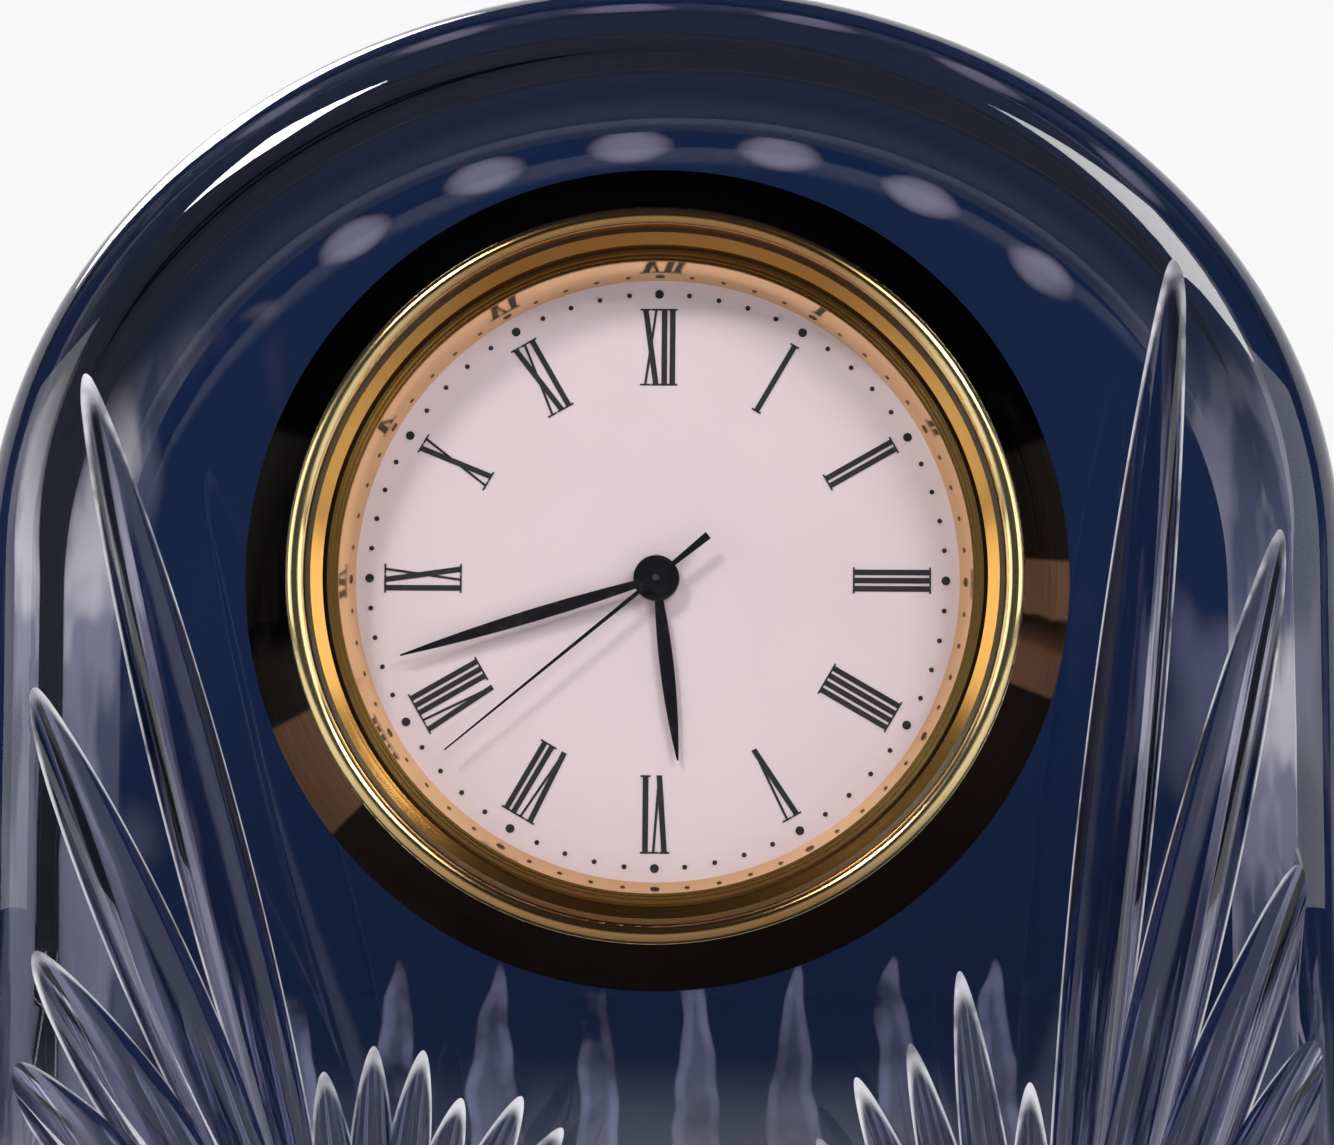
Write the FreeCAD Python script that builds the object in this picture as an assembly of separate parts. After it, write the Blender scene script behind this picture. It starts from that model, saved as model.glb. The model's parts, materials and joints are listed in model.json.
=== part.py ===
# Crystal shelf clock: an arch-topped block of cut crystal that holds a round quartz insert.
# Frame: +Z up, origin under the middle of the object on the surface it stands on, dial facing -Y.
# Depths of the insert's pieces are measured backwards from the block's flat front face.
import FreeCAD, Part
import math
import os
from FreeCAD import Vector

# Block of crystal
block_width = 84.0
block_height = 92.0
block_depth = 38.0
arch_share = 6 / 7
edge_roll = 5.0
base_bevel = 0.8
insert_drop = 37.6
bore_radius = 22.5
bore_bevel = 0.4

# Leaf cuts in the front face
long_cut_depth = 1.5
long_cut_wheel_radius = 2.5
long_cut_start = 7.0
short_cut_depth = 1.0
short_cut_wheel_radius = 1.6
short_cut_start = 4.0

# Bezel: widths step inwards from the bore, heights are measured forwards from the block's front face
bezel_lip = 2.5
bezel_height = 3.8
bezel_rim = 0.4
bead_inset = 0.34
bead_width = 1.11
bead_outer_foot = 3.1
bead_inner_foot = 3.2
ledge_width = 0.36
ledge_height = 3.0
cone_width = 0.68
step_height = 2.5
groove_width = 0.25
groove_drop = 0.3
lip_step = 0.2
lip_rise = 0.1
lip_drop = 0.25
lip_thickness = 0.4
bezel_seat_wall = 0.05

# Lens, gasket and reflector ring
lens_thickness = 1.1
lens_edge_gap = 0.02
gasket_width = 0.35
reflector_gap = 0.08
reflector_lip = 0.7
reflector_slope = 1.05

# Dial, its print and the ring behind it
dial_depth = 1.4
dial_thickness = 0.4
dial_edge_gap = 0.1
dial_hole_radius = 1.0
dial_turn = 0.5
print_height = 0.04
dot_inset = 0.85
minute_count = 60
hour_step = 5
hour_dot_radius = 0.27
minute_dot_radius = 0.15
numeral_inset = 0.9
numeral_height = 4.75
thick_stroke = 0.34
thin_stroke = 0.15
serif_width = 0.62
serif_thickness = 0.11
letter_pitch = 0.50
wide_letter = 1.16
spacer_width = 1.85

# Hands
hand_hub_radius = 1.4
hand_hub_height = 0.30
blade_thickness = 0.12
hour_hand_gap = 0.8
hour_hand_width = 0.86
minute_hand_gap = 0.4
minute_hand_width = 0.80
hand_neck_width = 0.42
hand_tip_width = 0.10
second_hand_gap = 0.15
widest_share = 0.42
second_hand_width = 0.28
second_tail_length = 4.1
second_tail_width = 0.50
second_hub_radius = 0.85
hour_hand_angle = 173.4
minute_hand_angle = 253.4
second_hand_angle = 230.9
hour_blade_depth = 0.95
minute_blade_depth = 0.50
second_blade_depth = 0.10
arbor_tip_depth = -0.16

# Insert case, grip sleeve and back cover
case_room = 0.9
case_wall = 0.65
case_front = 0.55
cell_room = 0.5
sleeve_gap = 0.05
sleeve_wall = 0.35
sleeve_front = 0.8
sleeve_inset = 1.0
rib_count = 5
rib_width = 0.9
rib_gap = 0.12
cover_thickness = 1.0
spigot_length = 1.2
spigot_wall = 1.25

# Radii of the insert's pieces, each from the one outside it
bezel_radius = bore_radius + bezel_lip
bead_outer_radius = bore_radius - bead_inset
bead_inner_radius = bead_outer_radius - bead_width
ledge_radius = bead_inner_radius - ledge_width
step_radius = ledge_radius - cone_width
groove_radius = step_radius - groove_width
lip_radius = groove_radius - 3 * lip_step
lens_radius = groove_radius + lip_rise
gasket_inner_radius = lens_radius + lens_edge_gap
gasket_outer_radius = gasket_inner_radius + gasket_width
bezel_bore_radius = gasket_outer_radius + bezel_seat_wall
reflector_outer_radius = bezel_bore_radius - reflector_gap
reflector_front_radius = reflector_outer_radius - reflector_lip
reflector_back_radius = reflector_front_radius - reflector_slope
case_outer_radius = bore_radius - case_room
case_inner_radius = case_outer_radius - case_wall
dial_radius = case_inner_radius - dial_edge_gap
spacer_inner_radius = dial_radius - spacer_width
dot_circle_radius = reflector_back_radius - dot_inset
numeral_outer_radius = dot_circle_radius - numeral_inset
numeral_inner_radius = numeral_outer_radius - numeral_height
hour_hand_length = numeral_inner_radius - hour_hand_gap
minute_hand_length = numeral_outer_radius - minute_hand_gap
second_hand_length = numeral_outer_radius - second_hand_gap
plate_radius = dial_radius

# Movement: its sizes across are written for a plate of the drawn radius and grow with the plate
drawn_radius = 20.85
unit = plate_radius / drawn_radius
movement_ring_inner_radius = 18.4 * unit

# Plates and bridge
plate_thickness = 1.2
plate_depth = 3.4
bridge_depth = 8.6
bridge_thickness = 0.8
bridge_left = -10.5 * unit
bridge_right = 11.6 * unit
bridge_bottom = -12.2 * unit
bridge_top = 4.4 * unit
pillar_radius = 1.1
pillar_places = ((-9.2 * unit, 3.2 * unit), (9.0 * unit, 3.2 * unit), (10.3 * unit, -8.3 * unit))
screw_radius = 0.45
screw_head_radius = 0.9
screw_head_height = 0.5
screw_length = 2.1
screw_slot = 0.2

# Gears: teeth and module of each, and where its arbor stands from the hands' axis
running_gap = 0.06
addendum_share = 0.85
dedendum_share = 1.2
root_share = 0.29
tip_share = 0.13
cannon_teeth = 12
minute_wheel_teeth = 36
setting_teeth = 12
motion_module = 0.25 * unit
minute_pinion_teeth = 10
hour_wheel_teeth = 40
hour_module = 0.24 * unit
second_pinion_teeth = 8
third_wheel_teeth = 60
third_module = 0.18 * unit
third_pinion_teeth = 8
centre_wheel_teeth = 64
centre_module = 0.17 * unit
intermediate_pinion_teeth = 12
second_wheel_teeth = 60
second_module = 0.18 * unit
rotor_pinion_teeth = 12
intermediate_wheel_teeth = 72
rotor_module = 0.15 * unit
motion_direction = 32.0
third_direction = -30.0
intermediate_direction = 210.0
rotor_direction = 270.0
gear_thickness = 0.4
pinion_overlap = 0.15
motion_gap = 0.2
second_arbor_radius = 0.20
train_arbor_radius = 0.25
cannon_pipe_inner_radius = 0.26
cannon_pipe_radius = 0.50
hour_pipe_radius = 0.85
minute_post_radius = 0.30
setting_stem_radius = 0.50
centre_hub_radius = 1.2

# Motor
rotor_radius = 1.3 * unit
stator_hole_radius = 1.7 * unit
stator_eye_radius = 2.35 * unit
stator_left = -9.5 * unit
stator_right = 8.3 * unit
stator_bottom = -11.8 * unit
stator_top = -9.2 * unit
stator_depth = 5.8
stator_thickness = 0.6
stator_leg_width = 1.6
coil_gap = 0.2
coil_core_width = 1.2
coil_tube_radius = 0.9
coil_winding_radius = 1.75
coil_flange_radius = 2.0
coil_flange_thickness = 0.5
coil_half_length = 6.0 * unit

# Circuit, cell and contacts
board_left = -16.0 * unit
board_right = -11.2 * unit
board_half_height = 8.0 * unit
board_depth = 9.0
board_thickness = 0.6
board_post_radius = 0.8
board_post_height = 5.6 * unit
chip_side = 3.0
chip_height = 0.8
quartz_can_radius = 1.0
quartz_can_length = 6.0
cell_ring_gap = 0.8 * unit
cell_radius = 5.8 * unit
cell_thickness = 5.4
cell_depth = 5.9
cell_step = 0.5
cell_pad_radius = 2.5 * unit
cell_pad_offset = 1.9 * unit
cell_wall_gap = 0.2
cell_wall_thickness = 0.5
cell_wall_front_height = 3.4
contact_thickness = 0.2
contact_width = 1.4 * unit
contact_height = 6.6 * unit
contact_left = -12.9 * unit
contact_right = 1.8 * unit

# Battery hatch
hatch_radius = 6.4 * unit
hatch_gap = 0.1
cover_hole_gap = 0.18
hatch_sink = 0.1
lug_reach = 0.7
lug_thickness = 0.23
lug_gap = 0.02
lug_half_angle = 14.0
notch_slack_angle = 2.0
hatch_turn = 45.0
coin_slot_length = 7.0 * unit
coin_slot_width = 1.1
coin_slot_depth = 0.45

# Setting knob
knob_radius = 2.6
knob_gap = 0.4
knob_length = 1.8
knob_grips = 16
knob_grip_radius = 0.28

overrun = 1.0

# Places worked out from the sizes above
case_depth = cell_depth + cell_thickness + cell_room
sleeve_back = case_depth - sleeve_inset
cell_height = movement_ring_inner_radius - cell_ring_gap - cell_radius
half_width = block_width / 2
arch_rise = half_width * arch_share
face_y = (bezel_height - block_depth) / 2
axis_z = block_height - insert_drop
spring_z = block_height - arch_rise
lip_front = step_height - groove_drop + lip_rise - 2 * lip_drop
lens_front = lip_thickness - lip_front
lens_back = lens_front + lens_thickness
spacer_depth = dial_depth + dial_thickness
train_depth = plate_depth + plate_thickness
cover_depth = case_depth
hour_gear_depth = spacer_depth + motion_gap
motion_gear_depth = hour_gear_depth + gear_thickness + motion_gap
centre_gear_depth = train_depth + gear_thickness
third_gear_depth = stator_depth + pinion_overlap * 2
second_gear_depth = third_gear_depth + 2 * gear_thickness
intermediate_gear_depth = second_gear_depth + 2 * gear_thickness
bridge_back = bridge_depth + bridge_thickness
coil_height = stator_bottom - coil_gap - coil_flange_radius
bearing_depth = plate_depth + plate_thickness / 2
bearing_back = bridge_depth + bridge_thickness / 2

# Leaf cuts of each fan: degrees outwards from upright, and reach as a share of the block's height.
# A fan's foot is given as shares of the half width and of the height. The cuts differ from side to
# side because they are cut by hand.
left_foot_shares = (-0.414, 0.034)
right_foot_shares = (0.538, -0.029)
left_long_shares = (
    (15.5, 0.725), (25.0, 0.545), (35.5, 0.385), (45.0, 0.350), (55.5, 0.315), (67.0, 0.285), (79.0, 0.270))
right_long_shares = (
    (6.8, 0.850), (14.4, 0.680), (22.6, 0.490), (31.5, 0.425), (41.0, 0.345), (51.5, 0.300), (62.5, 0.260))
left_short_shares = (
    (7.0, 0.235), (-1.0, 0.250), (-8.5, 0.250), (-16.0, 0.225), (-25.0, 0.240), (-33.0, 0.235), (-43.0, 0.200))
right_short_shares = (
    (-0.5, 0.290), (-7.5, 0.365), (-14.3, 0.325), (-21.5, 0.315), (-29.0, 0.290), (-37.5, 0.250), (-47.0, 0.210))


def front_at(depth):
    return face_y + depth


def tube(outer, inner, front, back, across=0, up=0):
    start = Vector(across, front_at(front), axis_z + up)
    solid = Part.makeCylinder(outer, back - front, start, Vector(0, 1, 0))
    if inner > 0:
        below = start - Vector(0, overrun, 0)
        solid = solid.cut(Part.makeCylinder(inner, back - front + 2 * overrun, below, Vector(0, 1, 0)))
    return solid


def slab(left, right, bottom, top, front, back):
    corner = Vector(left, front_at(front), axis_z + bottom)
    return Part.makeBox(right - left, back - front, top - bottom, corner)


def prism(points, front, back):
    corners = [Vector(x, front_at(front), axis_z + z) for x, z in points]
    face = Part.Face(Part.makePolygon(corners + corners[:1]))
    return face.extrude(Vector(0, back - front, 0))


def join(solids):
    return solids[0].multiFuse(solids[1:]).removeSplitter() if len(solids) > 1 else solids[0]


def turned(edges):
    face = Part.Face(Part.Wire(edges))
    return face.revolve(Vector(0, 0, axis_z), Vector(0, 1, 0), 360)


def profile_point(radius, height):
    return Vector(radius, front_at(-height), axis_z)


def turned_polygon(points):
    corners = [profile_point(radius, height) for radius, height in points]
    return turned(Part.makePolygon(corners + corners[:1]).Edges)


def polar(distance, degrees):
    return distance * math.cos(math.radians(degrees)), distance * math.sin(math.radians(degrees))


# Spindle that one pass of a round-edged wheel takes out of the front face
def leaf_cutter(foot, degrees, start, reach, wheel_radius, depth):
    lift = wheel_radius - depth
    half = (reach - start) / 2
    arc_radius = (half ** 2 + depth ** 2) / (2 * depth)
    end_radius = lift / 2
    fall = wheel_radius - end_radius
    end = math.sqrt(2 * arc_radius * fall - fall ** 2)
    along = Vector(math.sin(math.radians(degrees)), 0, math.cos(math.radians(degrees)))
    middle = Vector(foot[0], face_y - lift, foot[1]) + along * ((start + reach) / 2)
    inwards = Vector(0, 1, 0)
    low = middle - along * end
    high = middle + along * end
    arc = Part.Arc(low + inwards * end_radius, middle + inwards * wheel_radius, high + inwards * end_radius)
    sides = [Part.makeLine(high + inwards * end_radius, high), Part.makeLine(high, low)]
    sides.append(Part.makeLine(low, low + inwards * end_radius))
    face = Part.Face(Part.Wire([arc.toShape()] + sides))
    return face.revolve(middle, along, 360)


def fan(foot_shares, long_shares, short_shares, side):
    foot = (foot_shares[0] * half_width, foot_shares[1] * block_height)
    cutters = []
    for degrees, share in long_shares:
        reach = share * block_height
        cutters.append(
            leaf_cutter(foot, side * degrees, long_cut_start, reach, long_cut_wheel_radius, long_cut_depth))
    for degrees, share in short_shares:
        reach = share * block_height
        cutters.append(
            leaf_cutter(foot, side * degrees, short_cut_start, reach, short_cut_wheel_radius, short_cut_depth))
    return cutters


def crystal_block():
    back_y = face_y + block_depth
    left_foot = Vector(-half_width, face_y, 0)
    right_foot = Vector(half_width, face_y, 0)
    left_spring = Vector(-half_width, face_y, spring_z)
    right_spring = Vector(half_width, face_y, spring_z)
    centre = Vector(0, face_y, spring_z)
    crown = Vector(0, face_y, block_height)
    oval = Part.Ellipse(right_spring, crown, centre)
    top = Part.Edge(oval, 0, math.pi)
    if (top.valueAt(math.pi / 2) - crown).Length > half_width:
        top = Part.Edge(oval, math.pi, 2 * math.pi)
    outline = Part.Wire(Part.__sortEdges__([
        Part.makeLine(left_spring, left_foot), Part.makeLine(left_foot, right_foot),
        Part.makeLine(right_foot, right_spring), top]))
    block = Part.Face(outline).extrude(Vector(0, block_depth, 0))
    rims = [edge for edge in block.Edges if on_rim(edge, face_y) or on_rim(edge, back_y)]
    block = block.makeFillet(edge_roll, rims)
    base = [edge for edge in block.Edges if edge.BoundBox.ZMax < base_bevel / 2]
    block = block.makeChamfer(base_bevel, base)
    block = block.cut(tube(bore_radius, 0, -overrun, block_depth + overrun))
    mouths = [edge for edge in block.Edges if isinstance(edge.Curve, Part.Circle) and is_mouth(edge, back_y)]
    block = block.makeChamfer(bore_bevel, mouths)
    cutters = fan(left_foot_shares, left_long_shares, left_short_shares, -1)
    cutters += fan(right_foot_shares, right_long_shares, right_short_shares, 1)
    return block.cut(cutters)


def on_rim(edge, y):
    box = edge.BoundBox
    return abs(box.YMin - y) < base_bevel / 2 and abs(box.YMax - y) < base_bevel / 2 and box.ZMax > base_bevel


def is_mouth(edge, back_y):
    circle = edge.Curve
    at_face = min(abs(circle.Center.y - face_y), abs(circle.Center.y - back_y)) < bore_bevel / 2
    return abs(circle.Radius - bore_radius) < bore_bevel and at_face


def bezel():
    groove_height = step_height - groove_drop
    lip_height = groove_height + lip_rise
    bead_start = profile_point(bead_outer_radius, bead_outer_foot)
    bead_top = profile_point((bead_outer_radius + bead_inner_radius) / 2, bezel_height)
    bead_end = profile_point(bead_inner_radius, bead_inner_foot)
    points = [(bead_inner_radius, ledge_height), (ledge_radius, ledge_height), (step_radius, step_height),
              (step_radius, groove_height), (groove_radius, groove_height), (groove_radius, lip_height)]
    for step in (1, 2):
        points.append((groove_radius - step * lip_step, lip_height - (step - 1) * lip_drop))
        points.append((groove_radius - step * lip_step, lip_height - step * lip_drop))
    points.append((lip_radius, lip_front))
    points.append((lip_radius, -lens_front))
    points.append((bezel_bore_radius, -lens_front))
    points.append((bezel_bore_radius, case_front))
    points.append((case_outer_radius, case_front))
    points.append((case_outer_radius, 0))
    points.append((bezel_radius, 0))
    points.append((bezel_radius, bezel_rim))
    corners = [bead_end] + [profile_point(radius, height) for radius, height in points] + [bead_start]
    edges = [Part.Arc(bead_start, bead_top, bead_end).toShape()]
    for first, second in zip(corners, corners[1:]):
        edges.append(Part.makeLine(first, second))
    return turned(edges)


def reflector_ring():
    return turned_polygon([
        (reflector_outer_radius, -lens_back), (reflector_front_radius, -lens_back),
        (reflector_back_radius, -dial_depth), (reflector_outer_radius, -dial_depth)])


# Print on the dial: pieces are laid out upright at twelve o'clock and turned into place
def printed(points, degrees):
    piece = prism(points, dial_depth - print_height, dial_depth)
    piece.rotate(Vector(0, 0, axis_z), Vector(0, 1, 0), degrees + dial_turn)
    return piece


def stroke(low_x, high_x, width):
    half = width / 2
    return [(low_x - half, numeral_inner_radius), (low_x + half, numeral_inner_radius),
            (high_x + half, numeral_outer_radius), (high_x - half, numeral_outer_radius)]


def serif(x, at_top):
    edge = numeral_outer_radius - serif_thickness if at_top else numeral_inner_radius
    left = x - serif_width / 2
    return [(left, edge), (left + serif_width, edge), (left + serif_width, edge + serif_thickness),
            (left, edge + serif_thickness)]


def letter_shapes(letter, left):
    if letter == "I":
        middle = left + letter_pitch / 2
        return [stroke(middle, middle, thick_stroke), serif(middle, True), serif(middle, False)]
    inset = (thick_stroke + thin_stroke) / 2
    near = left + inset
    far = left + wide_letter - inset
    middle = left + wide_letter / 2
    if letter == "V":
        return [stroke(middle, near, thick_stroke), stroke(middle, far, thin_stroke), serif(near, True),
                serif(far, True)]
    return [stroke(far, near, thick_stroke), stroke(near, far, thin_stroke), serif(near, True),
            serif(far, True), serif(near, False), serif(far, False)]


def dial_numerals():
    words = ("XII", "I", "II", "III", "IIII", "V", "VI", "VII", "VIII", "IX", "X", "XI")
    solids = []
    for hour, word in enumerate(words):
        widths = [letter_pitch if letter == "I" else wide_letter for letter in word]
        left = -sum(widths) / 2
        pieces = []
        for letter, width in zip(word, widths):
            pieces += [printed(points, hour * 360 / len(words)) for points in letter_shapes(letter, left)]
            left += width
        solids.append(join(pieces))
    return Part.makeCompound(solids)


def minute_dots():
    dots = []
    for minute in range(minute_count):
        radius = hour_dot_radius if minute % hour_step == 0 else minute_dot_radius
        across, up = polar(dot_circle_radius, 90 - minute * 360 / minute_count - dial_turn)
        dots.append(tube(radius, 0, dial_depth - print_height, dial_depth, across, up))
    return Part.makeCompound(dots)


def pointed_blade(length, width, depth):
    widest = length * widest_share
    start = hand_hub_radius / 2
    flank = Part.Arc(
        Vector(-hand_neck_width / 2, 0, start), Vector(-width / 2, 0, widest), Vector(-hand_tip_width / 2, 0, length))
    other = Part.Arc(
        Vector(hand_tip_width / 2, 0, length), Vector(width / 2, 0, widest), Vector(hand_neck_width / 2, 0, start))
    tip = Part.makeLine(Vector(-hand_tip_width / 2, 0, length), Vector(hand_tip_width / 2, 0, length))
    foot = Part.makeLine(Vector(hand_neck_width / 2, 0, start), Vector(-hand_neck_width / 2, 0, start))
    face = Part.Face(Part.Wire([flank.toShape(), tip, other.toShape(), foot]))
    blade = face.extrude(Vector(0, blade_thickness, 0))
    blade.translate(Vector(0, front_at(depth), axis_z))
    return blade


def set_hand(solid, degrees):
    solid.rotate(Vector(0, 0, axis_z), Vector(0, 1, 0), degrees)
    return solid


def hour_hand():
    blade = pointed_blade(hour_hand_length, hour_hand_width, hour_blade_depth)
    hub = tube(hand_hub_radius, hour_pipe_radius, hour_blade_depth - blade_thickness / 2,
               hour_blade_depth + hand_hub_height / 2)
    bore = tube(hour_pipe_radius, 0, hour_blade_depth - overrun, hour_blade_depth + overrun)
    return set_hand(join([blade.cut(bore), hub]), hour_hand_angle)


def minute_hand():
    blade = pointed_blade(minute_hand_length, minute_hand_width, minute_blade_depth)
    hub = tube(hand_hub_radius, cannon_pipe_radius, minute_blade_depth - hand_hub_height / 2,
               minute_blade_depth + hand_hub_height / 2)
    bore = tube(cannon_pipe_radius, 0, minute_blade_depth - overrun, minute_blade_depth + overrun)
    return set_hand(join([blade.cut(bore), hub]), minute_hand_angle)


def second_hand():
    half = second_hand_width / 2
    tip = hand_tip_width / 2
    tail = second_tail_width / 2
    blade = prism([(-tip, second_hand_length), (-half, 0), (-half, -second_hub_radius), (-tail, -second_tail_length),
                   (tail, -second_tail_length), (half, -second_hub_radius), (half, 0), (tip, second_hand_length)],
                  second_blade_depth, second_blade_depth + blade_thickness)
    hub = tube(second_hub_radius, 0, second_blade_depth - blade_thickness, second_blade_depth + 2 * blade_thickness)
    bore = tube(second_arbor_radius, 0, second_blade_depth - overrun, second_blade_depth + overrun)
    return set_hand(join([blade, hub]).cut(bore), second_hand_angle)


# A gear between two depths, with one tooth's centre at the given angle
def gear(teeth, module, front, back, place, tooth_degrees, hole):
    pitch_radius = teeth * module / 2
    tip = pitch_radius + addendum_share * module
    root = pitch_radius - dedendum_share * module
    pitch = 360 / teeth
    points = []
    for tooth in range(teeth):
        centre = tooth_degrees + tooth * pitch
        for radius, share in ((root, -root_share), (tip, -tip_share), (tip, tip_share), (root, root_share)):
            across, up = polar(radius, centre + share * pitch)
            points.append((place[0] + across, place[1] + up))
    return prism(points, front, back).cut(tube(hole, 0, front - overrun, back + overrun, *place))


# Angle of a tooth on the gear that meshes with one whose own tooth angle is known
def meshed(teeth, tooth_degrees, direction, other_teeth):
    pitch = 360 / teeth
    other_pitch = 360 / other_teeth
    phase = (direction - tooth_degrees) / pitch % 1
    return direction + 180 - other_pitch * (0.5 - phase)


centre_place = (0, 0)
motion_distance = motion_module * (cannon_teeth + minute_wheel_teeth) / 2
setting_distance = motion_module * (setting_teeth + minute_wheel_teeth) / 2
third_distance = third_module * (second_pinion_teeth + third_wheel_teeth) / 2
intermediate_distance = second_module * (intermediate_pinion_teeth + second_wheel_teeth) / 2
rotor_distance = rotor_module * (rotor_pinion_teeth + intermediate_wheel_teeth) / 2
minute_wheel_place = polar(motion_distance, motion_direction)
setting_place = polar(motion_distance + setting_distance, motion_direction)
third_place = polar(third_distance, third_direction)
intermediate_place = polar(intermediate_distance, intermediate_direction)
rotor_step = polar(rotor_distance, rotor_direction)
rotor_place = (intermediate_place[0] + rotor_step[0], intermediate_place[1] + rotor_step[1])


def hour_wheel():
    mesh = meshed(minute_pinion_teeth, motion_direction + 180, motion_direction + 180, hour_wheel_teeth)
    bore = cannon_pipe_radius + running_gap
    wheel = gear(hour_wheel_teeth, hour_module, hour_gear_depth, hour_gear_depth + gear_thickness, centre_place,
                 mesh, bore)
    pipe = tube(hour_pipe_radius, bore, hour_blade_depth - blade_thickness / 2, hour_gear_depth + gear_thickness)
    return join([wheel, pipe])


def cannon_pinion():
    mesh = meshed(minute_wheel_teeth, motion_direction + 180, motion_direction + 180, cannon_teeth)
    pinion = gear(cannon_teeth, motion_module, motion_gear_depth, motion_gear_depth + gear_thickness, centre_place,
                  mesh, cannon_pipe_inner_radius)
    pipe = tube(cannon_pipe_radius, cannon_pipe_inner_radius, minute_blade_depth - hand_hub_height / 2, stator_depth)
    return join([pinion, pipe])


def minute_wheel():
    bore = minute_post_radius + running_gap
    wheel = gear(minute_wheel_teeth, motion_module, motion_gear_depth, motion_gear_depth + gear_thickness,
                 minute_wheel_place, motion_direction + 180, bore)
    pinion = gear(minute_pinion_teeth, hour_module, hour_gear_depth, motion_gear_depth, minute_wheel_place,
                  motion_direction + 180, bore)
    return join([wheel, pinion])


def setting_stem():
    mesh = meshed(minute_wheel_teeth, motion_direction + 180, motion_direction, setting_teeth)
    pinion = gear(setting_teeth, motion_module, motion_gear_depth, motion_gear_depth + gear_thickness,
                  setting_place, mesh, setting_stem_radius / 2)
    stem = tube(setting_stem_radius, 0, hour_gear_depth, cover_depth + cover_thickness + knob_gap + knob_length / 2,
                *setting_place)
    return join([pinion, stem])


def setting_knob():
    front = cover_depth + cover_thickness + knob_gap
    back = front + knob_length
    knob = tube(knob_radius, 0, front, back, *setting_place)
    blind = tube(setting_stem_radius, 0, front - overrun, front + knob_length / 2, *setting_place)
    grips = []
    for grip in range(knob_grips):
        across, up = polar(knob_radius, grip * 360 / knob_grips)
        grips.append(tube(knob_grip_radius, 0, front - overrun, back + overrun, setting_place[0] + across,
                          setting_place[1] + up))
    return knob.cut([blind] + grips)


def centre_wheel():
    mesh = meshed(third_pinion_teeth, third_direction + 180, third_direction + 180, centre_wheel_teeth)
    bore = cannon_pipe_radius + running_gap
    wheel = gear(centre_wheel_teeth, centre_module, centre_gear_depth, centre_gear_depth + gear_thickness,
                 centre_place, mesh, bore)
    hub = tube(centre_hub_radius, bore, centre_gear_depth, centre_gear_depth + 3 * gear_thickness / 2)
    return join([wheel, hub])


def third_wheel():
    pinion_back = centre_gear_depth + gear_thickness + pinion_overlap
    pinion = gear(third_pinion_teeth, centre_module, centre_gear_depth - pinion_overlap, pinion_back, third_place,
                  third_direction + 180, train_arbor_radius / 2)
    wheel = gear(third_wheel_teeth, third_module, third_gear_depth, third_gear_depth + gear_thickness, third_place,
                 third_direction + 180, train_arbor_radius / 2)
    return join([pinion, wheel, tube(train_arbor_radius, 0, bearing_depth, bearing_back, *third_place)])


def second_wheel():
    pinion_mesh = meshed(third_wheel_teeth, third_direction + 180, third_direction + 180, second_pinion_teeth)
    pinion = gear(second_pinion_teeth, third_module, third_gear_depth - pinion_overlap,
                  third_gear_depth + gear_thickness + pinion_overlap, centre_place, pinion_mesh,
                  second_arbor_radius / 2)
    wheel_mesh = meshed(intermediate_pinion_teeth, intermediate_direction + 180, intermediate_direction + 180,
                        second_wheel_teeth)
    wheel = gear(second_wheel_teeth, second_module, second_gear_depth, second_gear_depth + gear_thickness,
                 centre_place, wheel_mesh, second_arbor_radius / 2)
    return join([pinion, wheel, tube(second_arbor_radius, 0, arbor_tip_depth, bearing_back)])


def intermediate_wheel():
    pinion = gear(intermediate_pinion_teeth, second_module, second_gear_depth - pinion_overlap,
                  second_gear_depth + gear_thickness + pinion_overlap, intermediate_place,
                  intermediate_direction + 180, train_arbor_radius / 2)
    wheel = gear(intermediate_wheel_teeth, rotor_module, intermediate_gear_depth,
                 intermediate_gear_depth + gear_thickness, intermediate_place, rotor_direction,
                 train_arbor_radius / 2)
    return join([pinion, wheel, tube(train_arbor_radius, 0, bearing_depth, bearing_back, *intermediate_place)])


def rotor():
    mesh = meshed(intermediate_wheel_teeth, rotor_direction, rotor_direction, rotor_pinion_teeth)
    pinion = gear(rotor_pinion_teeth, rotor_module, intermediate_gear_depth - pinion_overlap,
                  intermediate_gear_depth + gear_thickness + pinion_overlap, rotor_place, mesh,
                  second_arbor_radius / 2)
    magnet = tube(rotor_radius, 0, stator_depth - gear_thickness, second_gear_depth, *rotor_place)
    return join([pinion, magnet, tube(second_arbor_radius, 0, bearing_depth, bearing_back, *rotor_place)])


def bearing_hole(place, radius, front, back):
    return tube(radius + running_gap, 0, front - overrun, back + overrun, *place)


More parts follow.
